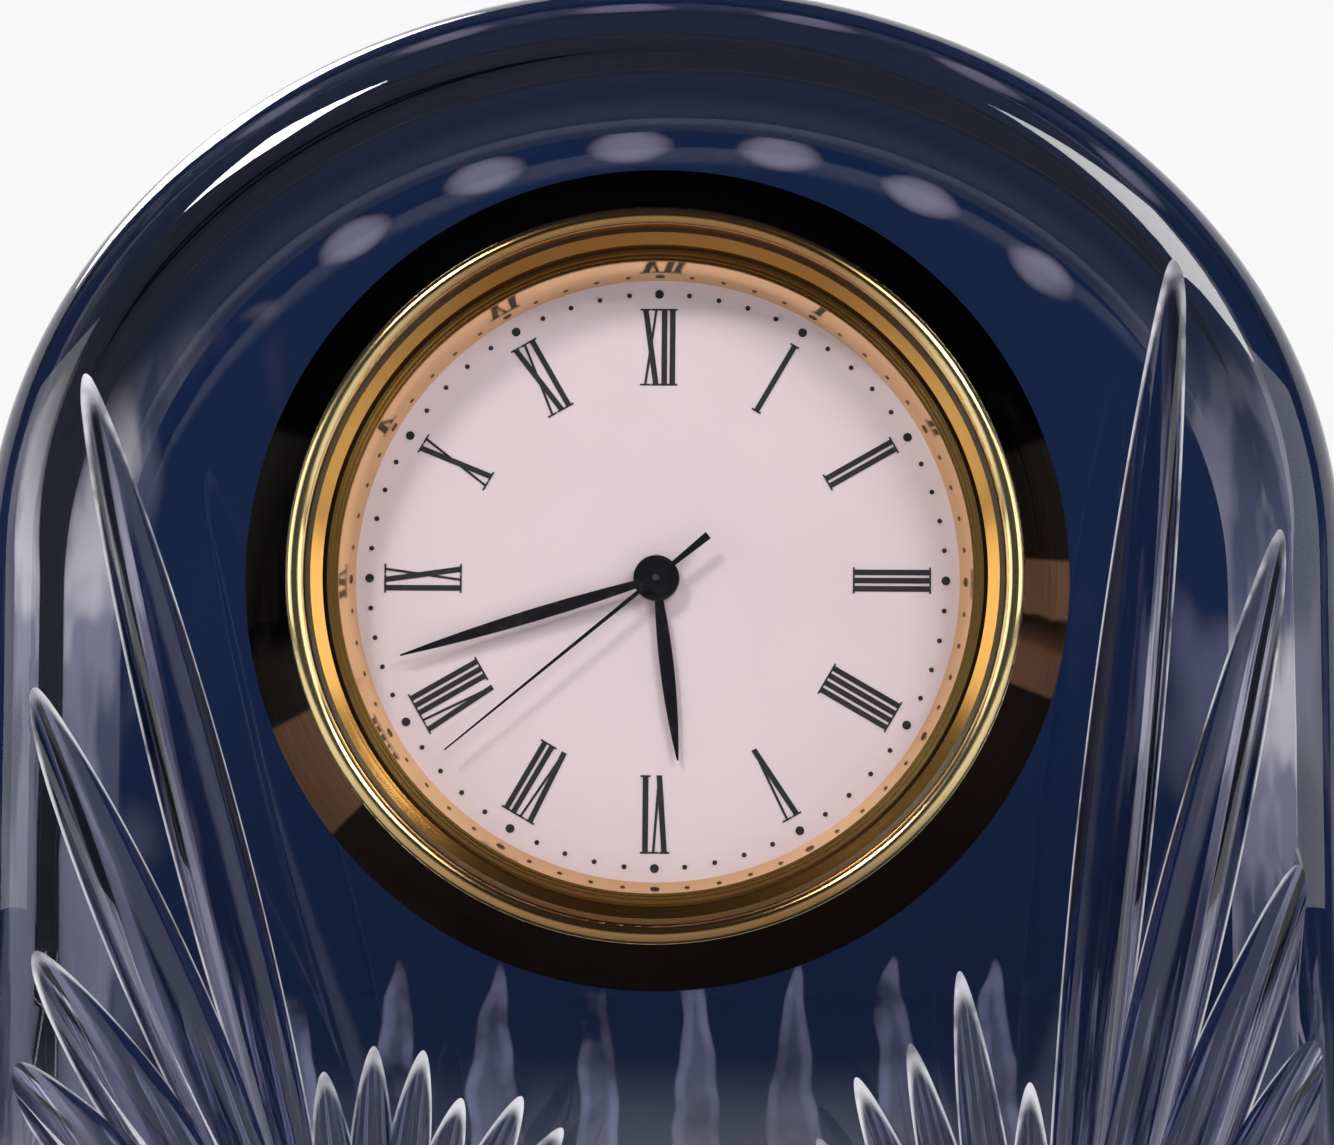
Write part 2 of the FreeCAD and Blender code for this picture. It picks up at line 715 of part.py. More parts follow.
def main_plate():
    plate = tube(plate_radius, 0, plate_depth, train_depth)
    holes = [bearing_hole(third_place, train_arbor_radius, plate_depth, train_depth),
             bearing_hole(intermediate_place, train_arbor_radius, plate_depth, train_depth),
             bearing_hole(rotor_place, second_arbor_radius, plate_depth, train_depth),
             bearing_hole(setting_place, setting_stem_radius, plate_depth, train_depth),
             bearing_hole(centre_place, cannon_pipe_radius, plate_depth, train_depth)]
    post = tube(minute_post_radius, 0, hour_gear_depth, plate_depth + plate_thickness / 2, *minute_wheel_place)
    board_middle = (board_left + board_right) / 2
    board_posts = [tube(board_post_radius, 0, train_depth - plate_thickness / 2, board_depth, board_middle, height)
                   for height in (-board_post_height, board_post_height)]
    pad = tube(cell_pad_radius, 0, train_depth - plate_thickness / 2, cell_depth, 0, cell_height + cell_pad_offset)
    wall_radius = cell_radius + cell_wall_gap
    wall = tube(wall_radius + cell_wall_thickness, wall_radius, train_depth - plate_thickness / 2,
                cell_depth + cell_wall_front_height, 0, cell_height)
    upper = slab(-plate_radius, plate_radius, cell_height + cell_pad_offset, plate_radius, plate_depth, case_depth)
    wall = wall.common(upper).common(tube(movement_ring_inner_radius - running_gap, 0, plate_depth, case_depth))
    return join([plate.cut(holes), post, pad, wall] + board_posts)


def train_bridge():
    bridge = slab(bridge_left, bridge_right, bridge_bottom, bridge_top, bridge_depth, bridge_back)
    pillars = [tube(pillar_radius, 0, train_depth, bridge_back, *place) for place in pillar_places]
    holes = [bearing_hole(third_place, train_arbor_radius, bridge_depth, bridge_back),
             bearing_hole(intermediate_place, train_arbor_radius, bridge_depth, bridge_back),
             bearing_hole(rotor_place, second_arbor_radius, bridge_depth, bridge_back),
             bearing_hole(centre_place, second_arbor_radius, bridge_depth, bridge_back)]
    holes += [tube(screw_radius, 0, bridge_back - screw_length, bridge_back + overrun, *place)
              for place in pillar_places]
    return join([bridge] + pillars).cut(holes)


def bridge_screws():
    screws = []
    for place in pillar_places:
        head = tube(screw_head_radius, 0, bridge_back, bridge_back + screw_head_height, *place)
        slot = slab(place[0] - screw_head_radius, place[0] + screw_head_radius, place[1] - screw_slot / 2,
                    place[1] + screw_slot / 2, bridge_back + screw_head_height - screw_slot, case_depth)
        shank = tube(screw_radius, 0, bridge_back - screw_length, bridge_back, *place)
        screws.append(join([head.cut(slot), shank]))
    return Part.makeCompound(screws)


def stator():
    back = stator_depth + stator_thickness
    bar = slab(stator_left, stator_right, stator_bottom, stator_top, stator_depth, back)
    eye = tube(stator_eye_radius, 0, stator_depth, back, *rotor_place)
    leg_foot = coil_height - coil_core_width / 2
    right_leg = slab(stator_right - stator_leg_width, stator_right, leg_foot, stator_top, stator_depth, back)
    left_leg = slab(-stator_right, stator_leg_width - stator_right, leg_foot, stator_top, stator_depth, back)
    hole = tube(stator_hole_radius, 0, stator_depth - overrun, back + overrun, *rotor_place)
    return join([bar, eye, right_leg, left_leg]).cut(hole)


def along_coil(radius, left, right):
    middle = stator_depth + 3 * stator_thickness / 2
    start = Vector(left, front_at(middle), axis_z + coil_height)
    return Part.makeCylinder(radius, right - left, start, Vector(1, 0, 0))


def coil_core():
    front = stator_depth + stator_thickness
    half = coil_core_width / 2
    return slab(-stator_right, stator_right, coil_height - half, coil_height + half, front, front + stator_thickness)


def coil_bobbin():
    left = along_coil(coil_flange_radius, -coil_half_length - coil_flange_thickness, -coil_half_length)
    right = along_coil(coil_flange_radius, coil_half_length, coil_half_length + coil_flange_thickness)
    former = along_coil(coil_tube_radius, -coil_half_length, coil_half_length)
    return join([left, former, right]).cut(coil_core())


def coil_winding():
    wound = along_coil(coil_winding_radius, -coil_half_length, coil_half_length)
    return wound.cut(along_coil(coil_tube_radius, -coil_half_length - overrun, coil_half_length + overrun))


def quartz_can():
    middle = (board_left + board_right) / 2
    start = Vector(middle, front_at(board_depth - quartz_can_radius), axis_z - quartz_can_length / 2)
    return Part.makeCylinder(quartz_can_radius, quartz_can_length, start, Vector(0, 0, 1))


def circuit_chip():
    middle = (board_left + board_right) / 2
    half = chip_side / 2
    front = board_depth + board_thickness
    return slab(middle - half, middle + half, -half, half, front, front + chip_height)


def button_cell():
    back = cell_depth + cell_thickness
    can = tube(cell_radius, 0, cell_depth + cell_step, back, 0, cell_height)
    cap = tube(cell_radius - cell_step, 0, cell_depth, cell_depth + cell_step, 0, cell_height)
    return join([can, cap])


def contact(front, riser_front, riser_back):
    top = contact_height + contact_width
    arm = slab(contact_left, contact_right, contact_height, top, front, front + contact_thickness)
    riser = slab(contact_left, contact_left + contact_thickness, contact_height, top, riser_front, riser_back)
    return join([arm, riser])


def negative_contact():
    return contact(cell_depth - contact_thickness, cell_depth - contact_thickness, board_depth)


def positive_contact():
    front = cell_depth + cell_thickness
    return contact(front, board_depth + board_thickness, front + contact_thickness)


def insert_case():
    return tube(case_outer_radius, case_inner_radius, -case_front, case_depth)


def grip_sleeve():
    inner = case_outer_radius + sleeve_gap
    outer = inner + sleeve_wall
    sleeve = tube(outer, inner, sleeve_front, sleeve_back)
    pitch = (sleeve_back - sleeve_front - rib_width) / (rib_count - 1)
    ribs = []
    for rib in range(rib_count):
        front = sleeve_front + rib * pitch
        ribs.append(tube(bore_radius - rib_gap, inner, front, front + rib_width))
    return join([sleeve] + ribs)


def lug_sector(outer, front, back, half_angle, turn):
    ring = tube(outer, hatch_radius - lug_reach, front, back, 0, cell_height)
    far = outer * 2
    sectors = []
    for side in (0, 180):
        first = polar(far, side + turn - half_angle)
        second = polar(far, side + turn + half_angle)
        points = [(0, cell_height), (first[0], cell_height + first[1]), (second[0], cell_height + second[1])]
        sectors.append(prism(points, front, back))
    return ring.common(Part.makeCompound(sectors))


def back_cover():
    back = cover_depth + cover_thickness
    disc = tube(case_outer_radius, 0, cover_depth, back)
    spigot = tube(plate_radius, plate_radius - spigot_wall, cover_depth - spigot_length, cover_depth)
    window = tube(hatch_radius + hatch_gap, 0, cover_depth - overrun, back + overrun, 0, cell_height)
    notches = lug_sector(hatch_radius + lug_reach + hatch_gap, cover_depth - overrun, back + overrun,
                         lug_half_angle + notch_slack_angle, hatch_turn)
    stem_hole = tube(setting_stem_radius + cover_hole_gap, 0, cover_depth - overrun, back + overrun, *setting_place)
    return join([disc, spigot]).cut([window, notches, stem_hole])


def battery_hatch():
    front = cover_depth - lug_gap - lug_thickness
    back = cover_depth + cover_thickness - hatch_sink
    disc = tube(hatch_radius, 0, front, back, 0, cell_height)
    lugs = lug_sector(hatch_radius + lug_reach, front, front + lug_thickness, lug_half_angle, 0)
    half = coin_slot_length / 2
    slot = slab(-half, half, cell_height - coin_slot_width / 2, cell_height + coin_slot_width / 2,
                back - coin_slot_depth, back + overrun)
    return join([disc, lugs]).cut(slot)


nodes = {
    "crystal_block": crystal_block,
    "bezel": bezel,
    "lens": lambda: tube(lens_radius, 0, lens_front, lens_back),
    "lens_gasket": lambda: tube(gasket_outer_radius, gasket_inner_radius, lens_front, lens_back),
    "reflector_ring": reflector_ring,
    "dial": lambda: tube(dial_radius, dial_hole_radius, dial_depth, spacer_depth),
    "dial_numerals": dial_numerals,
    "minute_dots": minute_dots,
    "dial_spacer_ring": lambda: tube(dial_radius, spacer_inner_radius, spacer_depth, plate_depth),
    "hour_hand": hour_hand,
    "minute_hand": minute_hand,
    "second_hand": second_hand,
    "hour_wheel": hour_wheel,
    "cannon_pinion": cannon_pinion,
    "minute_wheel": minute_wheel,
    "setting_stem": setting_stem,
    "setting_knob": setting_knob,
    "centre_wheel": centre_wheel,
    "third_wheel": third_wheel,
    "second_wheel": second_wheel,
    "intermediate_wheel": intermediate_wheel,
    "rotor": rotor,
    "main_plate": main_plate,
    "movement_ring": lambda: tube(plate_radius, movement_ring_inner_radius, train_depth,
                                  cover_depth - spigot_length),
    "train_bridge": train_bridge,
    "bridge_screws": bridge_screws,
    "stator": stator,
    "coil_core": coil_core,
    "coil_bobbin": coil_bobbin,
    "coil_winding": coil_winding,
    "circuit_board": lambda: slab(board_left, board_right, -board_half_height, board_half_height, board_depth,
                                  board_depth + board_thickness),
    "circuit_chip": circuit_chip,
    "quartz_can": quartz_can,
    "button_cell": button_cell,
    "negative_contact": negative_contact,
    "positive_contact": positive_contact,
    "insert_case": insert_case,
    "grip_sleeve": grip_sleeve,
    "back_cover": back_cover,
    "battery_hatch": battery_hatch,
}

os.makedirs("parts", exist_ok=True)
for name, make in nodes.items():
    shape = make()
    shape.exportStep("parts/" + name + ".step")
    print(name, len(shape.Solids), "solid, volume", round(shape.Volume, 3), "valid", shape.isValid())
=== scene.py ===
# Cut crystal shelf clock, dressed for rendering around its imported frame
import json
import math

import bmesh
import bpy
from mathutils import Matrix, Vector


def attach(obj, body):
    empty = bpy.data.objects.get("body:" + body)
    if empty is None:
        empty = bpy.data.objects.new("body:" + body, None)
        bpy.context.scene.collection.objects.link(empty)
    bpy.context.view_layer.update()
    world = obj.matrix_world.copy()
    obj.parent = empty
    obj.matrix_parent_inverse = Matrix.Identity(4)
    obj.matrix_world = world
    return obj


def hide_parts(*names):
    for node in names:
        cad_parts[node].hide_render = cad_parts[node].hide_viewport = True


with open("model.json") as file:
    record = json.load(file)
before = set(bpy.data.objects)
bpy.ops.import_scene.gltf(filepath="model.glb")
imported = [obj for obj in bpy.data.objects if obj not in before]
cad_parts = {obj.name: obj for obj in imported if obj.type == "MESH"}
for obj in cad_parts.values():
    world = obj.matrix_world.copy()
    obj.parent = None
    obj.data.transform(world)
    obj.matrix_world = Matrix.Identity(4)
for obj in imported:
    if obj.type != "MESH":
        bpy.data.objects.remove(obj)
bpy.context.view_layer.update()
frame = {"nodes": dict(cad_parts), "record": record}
print("frame loaded:", len(frame["nodes"]), "nodes")

mm = 0.001
faceY = -17.1 * mm      # flat front face of the block
axisZ = 54.4 * mm       # axis of the hands


def bodyOf(node):
    return next(body for body, nodes in frame["record"]["behaviour"]["bodies"].items() if node in nodes)


def objectOf(node):
    found = frame["nodes"][node]
    return bpy.data.objects[found] if isinstance(found, str) else found


class Wire:
    # a socket that can be used in sums

    def __init__(self, tree, socket):
        self.tree = tree
        self.socket = socket

    def maths(self, operation, *others):
        values = {index + 1: other for index, other in enumerate(others)}
        values[0] = self
        return self.tree.add("ShaderNodeMath", {"operation": operation}, values)[0]

    def __add__(self, other):
        return self.maths("ADD", other)

    def __radd__(self, other):
        return self.maths("ADD", other)

    def __sub__(self, other):
        return self.maths("SUBTRACT", other)

    def __rsub__(self, other):
        return (self * -1.0) + other

    def __mul__(self, other):
        return self.maths("MULTIPLY", other)

    def __rmul__(self, other):
        return self.maths("MULTIPLY", other)

    def __truediv__(self, other):
        return self.maths("DIVIDE", other)

    def __rtruediv__(self, other):
        return self.maths("POWER", -1.0) * other

    def __pow__(self, other):
        return self.maths("POWER", other)


class Tree:
    def __init__(self, nodeTree):
        self.nodeTree = nodeTree

    def add(self, kind, settings=None, values=None):
        node = self.nodeTree.nodes.new(kind)
        for name, setting in (settings or {}).items():
            if name == "stops":
                self.setStops(node.color_ramp, setting)
            else:
                setattr(node, name, setting)
        for name, value in (values or {}).items():
            socket = node.inputs[name]
            if isinstance(value, Wire):
                self.nodeTree.links.new(value.socket, socket)
            else:
                socket.default_value = value
        return Outputs(self, node)

    def setStops(self, ramp, stops):
        while len(ramp.elements) < len(stops):
            ramp.elements.new(1.0)
        for element, (place, colour) in zip(ramp.elements, stops):
            element.position = place
            element.color = (*colour, 1.0)

    def link(self, wire, node, name):
        self.nodeTree.links.new(wire.socket, node.inputs[name])

    def ramp(self, wire, low, high, toLow=0.0, toHigh=1.0):
        return self.add("ShaderNodeMapRange", {"interpolation_type": "SMOOTHSTEP"},
                        {0: wire, 1: low, 2: high, 3: toLow, 4: toHigh})[0]

    def mix(self, factor, first, second):
        # a colour between two colours
        values = {0: factor, 6: first if isinstance(first, Wire) else (*first, 1.0),
                  7: second if isinstance(second, Wire) else (*second, 1.0)}
        return self.add("ShaderNodeMix", {"data_type": "RGBA"}, values)[2]

    def noise(self, scale, detail=3.0, roughness=0.5, stretch=None):
        place = self.place()
        if stretch:
            place = self.add("ShaderNodeVectorMath", {"operation": "MULTIPLY"}, {0: place, 1: stretch})[0]
        values = {"Vector": place, "Scale": scale, "Detail": detail, "Roughness": roughness}
        return self.add("ShaderNodeTexNoise", {"noise_dimensions": "3D"}, values)[0]

    def place(self):
        return self.add("ShaderNodeTexCoord")["Object"]

    def aroundAxis(self):
        # distance from the axis of the hands, the angle about it and the offset from it
        axis, across = (0.0, 0.0, axisZ), (1.0, 0.0, 1.0)
        offset = self.add("ShaderNodeVectorMath", {"operation": "SUBTRACT"}, {0: self.place(), 1: axis})[0]
        flat = self.add("ShaderNodeVectorMath", {"operation": "MULTIPLY"}, {0: offset, 1: across})[0]
        distance = self.add("ShaderNodeVectorMath", {"operation": "LENGTH"}, {0: flat})[1]
        parts = self.add("ShaderNodeSeparateXYZ", None, {0: offset})
        angle = self.add("ShaderNodeMath", {"operation": "ARCTAN2"}, {0: parts[2], 1: parts[0]})[0]
        return distance, angle, parts

    def bump(self, height, strength, distance):
        values = {"Strength": strength, "Distance": distance, "Height": height}
        return self.add("ShaderNodeBump", None, values)[0]


class Outputs:
    def __init__(self, tree, node):
        self.tree = tree
        self.node = node

    def __getitem__(self, name):
        return Wire(self.tree, self.node.outputs[name])


def newMaterial(name, paint):
    # a material whose paint function adds its nodes and gives back the shader
    material = bpy.data.materials.new(name)
    material.use_nodes = True
    material.node_tree.nodes.clear()
    tree = Tree(material.node_tree)
    tree.add("ShaderNodeOutputMaterial", None, {"Surface": paint(tree)})
    return material


def principled(tree, **values):
    names = {"colour": "Base Color", "rough": "Roughness", "metal": "Metallic", "normal": "Normal",
             "ior": "IOR", "coat": "Coat Weight", "coatRough": "Coat Roughness",
             "clear": "Transmission Weight", "sheen": "Sheen Weight", "specular": "Specular IOR Level"}
    sockets = {}
    for name, value in values.items():
        if isinstance(value, tuple) and len(value) == 3:
            value = (*value, 1.0)
        sockets[names[name]] = value
    return tree.add("ShaderNodeBsdfPrincipled", None, sockets)[0]


def addObject(name, data):
    added = bpy.data.objects.new(name, data)
    bpy.context.scene.collection.objects.link(added)
    return added


def newPiece(name, mesh, body, materials=()):
    piece = addObject(name, mesh)
    for material in materials:
        mesh.materials.append(material)
    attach(piece, body)
    return piece


def softenEdges(mesh, degrees):
    # smooth shading everywhere but at sharp edges and where the material changes
    mesh.shade_smooth()
    work = bmesh.new()
    work.from_mesh(mesh)
    for edge in work.edges:
        faces = edge.link_faces
        turn = edge.calc_face_angle(0.0) if len(faces) == 2 else math.pi
        change = len(faces) == 2 and faces[0].material_index != faces[1].material_index
        edge.smooth = not (turn > math.radians(degrees) or change)
    work.to_mesh(mesh)
    work.free()


def smoothCopy(node, name, material, degrees, near=0.0004 * mm):
    # stands for a CAD node: the same shape, merged, with smooth curved faces
    source = objectOf(node)
    mesh = source.data.copy()
    mesh.materials.clear()
    work = bmesh.new()
    work.from_mesh(mesh)
    bmesh.ops.remove_doubles(work, verts=work.verts, dist=near)
    bmesh.ops.dissolve_degenerate(work, dist=near, edges=work.edges)
    work.to_mesh(mesh)
    work.free()
    if "custom_normal" in mesh.attributes:
        mesh.attributes.remove(mesh.attributes["custom_normal"])
    softenEdges(mesh, degrees)
    slotName = next(part["material_slot"] for part in frame["record"]["subparts"] if part["node"] == node)
    piece = newPiece(name, mesh, bodyOf(node), [material])
    evenShading(piece)
    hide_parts(node)
    return piece


def evenShading(piece):
    # flat faces keep flat shading where a rounding runs into them
    modifier = piece.modifiers.new("evenShading", "WEIGHTED_NORMAL")
    modifier.keep_sharp = True
    modifier.weight = 100


def dress(node, material):
    for place in objectOf(node).material_slots:
        place.material = material


def lathe(profile, around):
    # profile points are (radius, y); the shape turns about the axis of the hands
    mesh = bpy.data.meshes.new("lathe")
    work = bmesh.new()
    rings = []
    for radius, y in profile:
        ring = []
        for step in range(around):
            angle = 2 * math.pi * step / around
            ring.append(work.verts.new((radius * math.cos(angle), y, axisZ + radius * math.sin(angle))))
        rings.append(ring)
    for first, second in zip(rings, rings[1:]):
        for step in range(around):
            after = (step + 1) % around
            work.faces.new((first[step], first[after], second[after], second[step]))
    work.faces.new(rings[0])
    work.faces.new(rings[-1])
    bmesh.ops.recalc_face_normals(work, faces=work.faces)
    work.to_mesh(mesh)
    work.free()
    return mesh


block = {
    "halfWidth": 42.0 * mm, "height": 92.0 * mm, "depth": 38.0 * mm, "archRise": 36.0 * mm,
    "roll": 5.0 * mm, "footBevel": 0.8 * mm, "bore": 22.5 * mm, "boreBevel": 0.4 * mm, "boreOver": 1.0 * mm,
    "archSteps": 120, "rollSteps": 12, "sideSteps": 10, "boreSteps": 200, "sharpFrom": 24,
}
cuts = {
    "longDepth": 1.5 * mm, "longWheel": 2.5 * mm, "longStart": 7.0 * mm,
    "shortDepth": 1.0 * mm, "shortWheel": 1.6 * mm, "shortStart": 4.0 * mm,
    "around": 64, "along": 56,
    "leftFoot": (-0.414, 0.034), "rightFoot": (0.538, -0.029),
    "leftLong": ((15.5, 0.725), (25.0, 0.545), (35.5, 0.385), (45.0, 0.350), (55.5, 0.315), (67.0, 0.285),
                 (79.0, 0.270)),
    "rightLong": ((6.8, 0.850), (14.4, 0.680), (22.6, 0.490), (31.5, 0.425), (41.0, 0.345), (51.5, 0.300),
                  (62.5, 0.260)),
    "leftShort": ((7.0, 0.235), (-1.0, 0.250), (-8.5, 0.250), (-16.0, 0.225), (-25.0, 0.240), (-33.0, 0.235),
                  (-43.0, 0.200)),
    "rightShort": ((-0.5, 0.290), (-7.5, 0.365), (-14.3, 0.325), (-21.5, 0.315), (-29.0, 0.290),
                   (-37.5, 0.250), (-47.0, 0.210)),
}
# a noise is its scale, detail and roughness; a band is where a ramp starts and ends, then its two values
glass = {
    "ior": 1.54, "clear": (0.80, 0.80, 0.86), "cut": (0.42, 0.42, 0.56), "navy": (0.00003, 0.0003, 0.0036),
    "polish": 0.0, "cutPolish": 0.03, "rippleDetail": 2.0,
    "wave": {"scale": 60.0, "strength": 0.10, "height": 0.10 * mm, "smear": 0.003},
    "edgeWave": {"scale": 60.0, "strength": 0.08, "height": 0.10 * mm, "smear": 0.003},
    "cutWave": {"scale": 260.0, "strength": 0.20, "height": 0.06 * mm, "smear": 0.05},
    "streakNoise": (220.0, 2.0, 0.6), "streakBand": (0.35, 0.75),
    # a white rough line along the cut edges: painted highlight
    "frost": (0.86, 0.85, 0.90), "frostRough": 0.35, "frostDepth": 0.30 * mm, "frostFull": 0.3,
    "frostShare": 0.92, "brokenNoise": (210.0, 3.0, 0.6), "brokenBand": (0.30, 0.58, 0.15, 1.0),
}
# the shine colour is a painted highlight and the streak colour a painted dark streak on the sides of the
# block
sides = {
    "low": (0.055, 0.056, 0.105), "streak": (0.006, 0.008, 0.024), "shine": (0.34, 0.32, 0.40),
    "high": (0.0004, 0.0008, 0.0035), "from": 52.0 * mm, "to": 74.0 * mm,
    "cloudNoise": (55.0, 3.0, 0.6), "cloudStretch": (1.0, 1.0, 0.35), "cloudRise": 30.0 * mm,
    "streakNoise": (240.0, 3.0, 0.6), "streakStretch": (1.0, 1.0, 0.16), "streakBand": (0.43, 0.57),
    "shineNoise": (130.0, 3.0, 0.6), "shineStretch": (1.0, 1.0, 0.4), "shineBand": (0.54, 0.66),
}
# painted light on the navy back: refracted petals, oval highlights and pale side clouds
paintedBackLight = {
    "petal": (0.040, 0.046, 0.125), "petalPitch": 6.6 * mm, "petalStart": 1.6 * mm, "petalTop": 31.5 * mm,
    "petalLength": 12.0 * mm, "petalHalf": 1.7 * mm, "petalLine": 0.5 * mm, "petalTip": 0.08,
    "wobble": 3.6 * mm, "wobbleUp": 1.5, "wobbleNoise": (95.0, 2.0, 0.6), "fillShare": 0.35,
    "shineNoise": (150.0, 3.0, 0.6), "shineBand": (0.35, 0.68),
    "oval": (0.034, 0.031, 0.070), "ovalRing": 0.835, "ovalWidth": 0.034, "ovalCount": 21.7,
    "ovalShare": 1.4, "ovalTurn": 0.08, "ovalFrom": 0.50, "ovalTo": 0.60, "ovalBand": (0.1, 1.0),
    "cloud": (0.022, 0.025, 0.068), "cloudFrom": 25.0 * mm, "cloudTo": 31.0 * mm, "cloudTop": 78.0 * mm,
    "cloudFade": 0.85, "cloudNoise": (70.0, 3.0, 0.55), "cloudStretch": (1.0, 1.0, 0.35),
    "cloudBand": (0.46, 0.66),
}
ground = {
    "tone": (0.030, 0.033, 0.048), "paler": 1.2, "noise": (6000.0, 3.0, 0.6),
    "rough": (0.3, 0.7, 0.55, 0.7), "bump": (0.1, 0.004 * mm),
}


def crystalFinish(name, colour, rough, wave, tint=None, withPaintedEdgeLine=False):
    def paint(tree):
        ripple = tree.noise(wave["scale"], glass["rippleDetail"])
        normal = tree.bump(ripple, wave["strength"], wave["height"])
        streak = tree.noise(*glass["streakNoise"])
        polish = tree.ramp(streak, *glass["streakBand"], rough, rough + wave["smear"])
        tone = tint(tree) if tint else colour
        body = principled(tree, colour=tone, rough=polish, ior=glass["ior"], clear=1.0, normal=normal)
        if withPaintedEdgeLine:
            # painted highlight: a white rough line where a cut meets the face stands in for the light caught
            # by the rounded cut edge
            depth = tree.add("ShaderNodeSeparateXYZ", None, {0: tree.place()})[1] - faceY
            broken = tree.ramp(tree.noise(*glass["brokenNoise"]), *glass["brokenBand"])
            full = glass["frostFull"] * glass["frostDepth"]
            line = tree.ramp(depth, full, glass["frostDepth"], glass["frostShare"], 0.0) * broken
            frost = principled(tree, colour=glass["frost"], rough=glass["frostRough"])
            body = tree.add("ShaderNodeMixShader", None, {0: line, 1: body, 2: frost})[0]
        soft = (*[channel ** 0.5 for channel in colour], 1.0)
        shadow = tree.add("ShaderNodeBsdfTransparent", None, {"Color": soft})[0]
        isShadow = tree.add("ShaderNodeLightPath")["Is Shadow Ray"]
        return tree.add("ShaderNodeMixShader", None, {0: isShadow, 1: body, 2: shadow})[0]
    return newMaterial(name, paint)


def sideTintWithPaintedLight(tree):
    # dark over the arch, paler and cloudy down the sides, with painted highlight patches and painted dark
    # streaks there
    height = tree.add("ShaderNodeSeparateXYZ", None, {0: tree.place()})[2]
    cloud = tree.noise(*sides["cloudNoise"], sides["cloudStretch"])
    rise = height + (cloud - 0.5) * sides["cloudRise"]
    streak = tree.ramp(tree.noise(*sides["streakNoise"], sides["streakStretch"]), *sides["streakBand"])
    shine = tree.ramp(tree.noise(*sides["shineNoise"], sides["shineStretch"]), *sides["shineBand"])
    # painted highlight patches and painted dark streaks
    low = tree.mix(streak, tree.mix(shine, sides["low"], sides["shine"]), sides["streak"])
    return tree.mix(tree.ramp(rise, sides["from"], sides["to"]), low, sides["high"])


def backTintWithPaintedLight(tree):
    # navy, with painted light on it: pale petals low down are painted refractions of the cuts, soft ovals
    # under the arch are painted highlights, and pale clouds at both sides are painted refracted light
    parts = tree.add("ShaderNodeSeparateXYZ", None, {0: tree.place()})
    x, z = parts[0], parts[2]
    drift = (tree.noise(*paintedBackLight["wobbleNoise"]) - 0.5) * paintedBackLight["wobble"]
    step = ((x + drift - paintedBackLight["petalStart"]) / paintedBackLight["petalPitch"] + 0.5).maths("FRACT")
    offset = ((step - 0.5) * paintedBackLight["petalPitch"]).maths("ABSOLUTE")
    drop = (drift * paintedBackLight["wobbleUp"] - z + paintedBackLight["petalTop"]) / paintedBackLight["petalLength"]
    drop = drop.maths("MAXIMUM", 0.0).maths("MINIMUM", 1.0)
    beyond = offset - (drop ** 0.5) * paintedBackLight["petalHalf"]
    inside = tree.ramp(beyond, -0.5 * paintedBackLight["petalLine"], 0.0, 1.0, 0.0)
    core = tree.ramp(beyond, -2 * paintedBackLight["petalLine"], -paintedBackLight["petalLine"], 1.0, 0.0)
    shine = tree.ramp(tree.noise(*paintedBackLight["shineNoise"]), *paintedBackLight["shineBand"])
    paintedPetals = (inside - core * (1 - paintedBackLight["fillShare"])) * tree.ramp(drop, 0.0, paintedBackLight["petalTip"]) * shine
    across = x / block["halfWidth"]
    up = (z - (block["height"] - block["archRise"])) / block["archRise"]
    ring = (across * across + up * up) ** 0.5 - paintedBackLight["ovalRing"]
    turn = tree.add("ShaderNodeMath", {"operation": "ARCTAN2"}, {0: across, 1: up})[0]
    swing = ((turn + paintedBackLight["ovalTurn"]) * paintedBackLight["ovalCount"]).maths("COSINE")
    spread = (ring / paintedBackLight["ovalWidth"]) ** 2 + (1 - swing) / paintedBackLight["ovalShare"]
    oval = tree.ramp(spread, *paintedBackLight["ovalBand"], 1.0, 0.0) * tree.ramp(up, paintedBackLight["ovalFrom"], paintedBackLight["ovalTo"])
    cloud = tree.ramp(tree.noise(*paintedBackLight["cloudNoise"], paintedBackLight["cloudStretch"]), *paintedBackLight["cloudBand"])
    cloud = cloud * tree.ramp(x.maths("ABSOLUTE"), paintedBackLight["cloudFrom"], paintedBackLight["cloudTo"])
    cloud = cloud * tree.ramp(z, paintedBackLight["cloudFade"] * paintedBackLight["cloudTop"], paintedBackLight["cloudTop"], 1.0, 0.0)
    tone = tree.mix(paintedPetals, glass["navy"], paintedBackLight["petal"])
    # the pale clouds at both sides are painted refracted light
    tone = tree.mix(cloud, tone, paintedBackLight["cloud"])
    return tree.mix(oval, tone, paintedBackLight["oval"])


def paintBore(tree):
    grain = tree.noise(*ground["noise"])
    paler = tuple(channel * ground["paler"] for channel in ground["tone"])
    return principled(tree, colour=tree.mix(grain, ground["tone"], paler),
                      rough=tree.ramp(grain, *ground["rough"]), normal=tree.bump(grain, *ground["bump"]))


def outline():
    # points and inward directions along the block's edge, from the left foot over the arch to the right foot
    points = []
    spring = block["height"] - block["archRise"]
    half = block["halfWidth"]
    for step in range(block["sideSteps"]):
        share = step / block["sideSteps"]
        points.append((-half, block["footBevel"] + share * (spring - block["footBevel"]), 1.0, 0.0))
    for step in range(block["archSteps"] + 1):
        angle = math.pi * step / block["archSteps"]
        inward = Vector((math.cos(angle) / half, -math.sin(angle) / block["archRise"])).normalized()
        x, z = -half * math.cos(angle), spring + block["archRise"] * math.sin(angle)
        points.append((x, z, inward.x, inward.y))
    for x, z, inX, inZ in points[block["sideSteps"] - 1::-1]:
        points.append((-x, z, -inX, inZ))
    return points


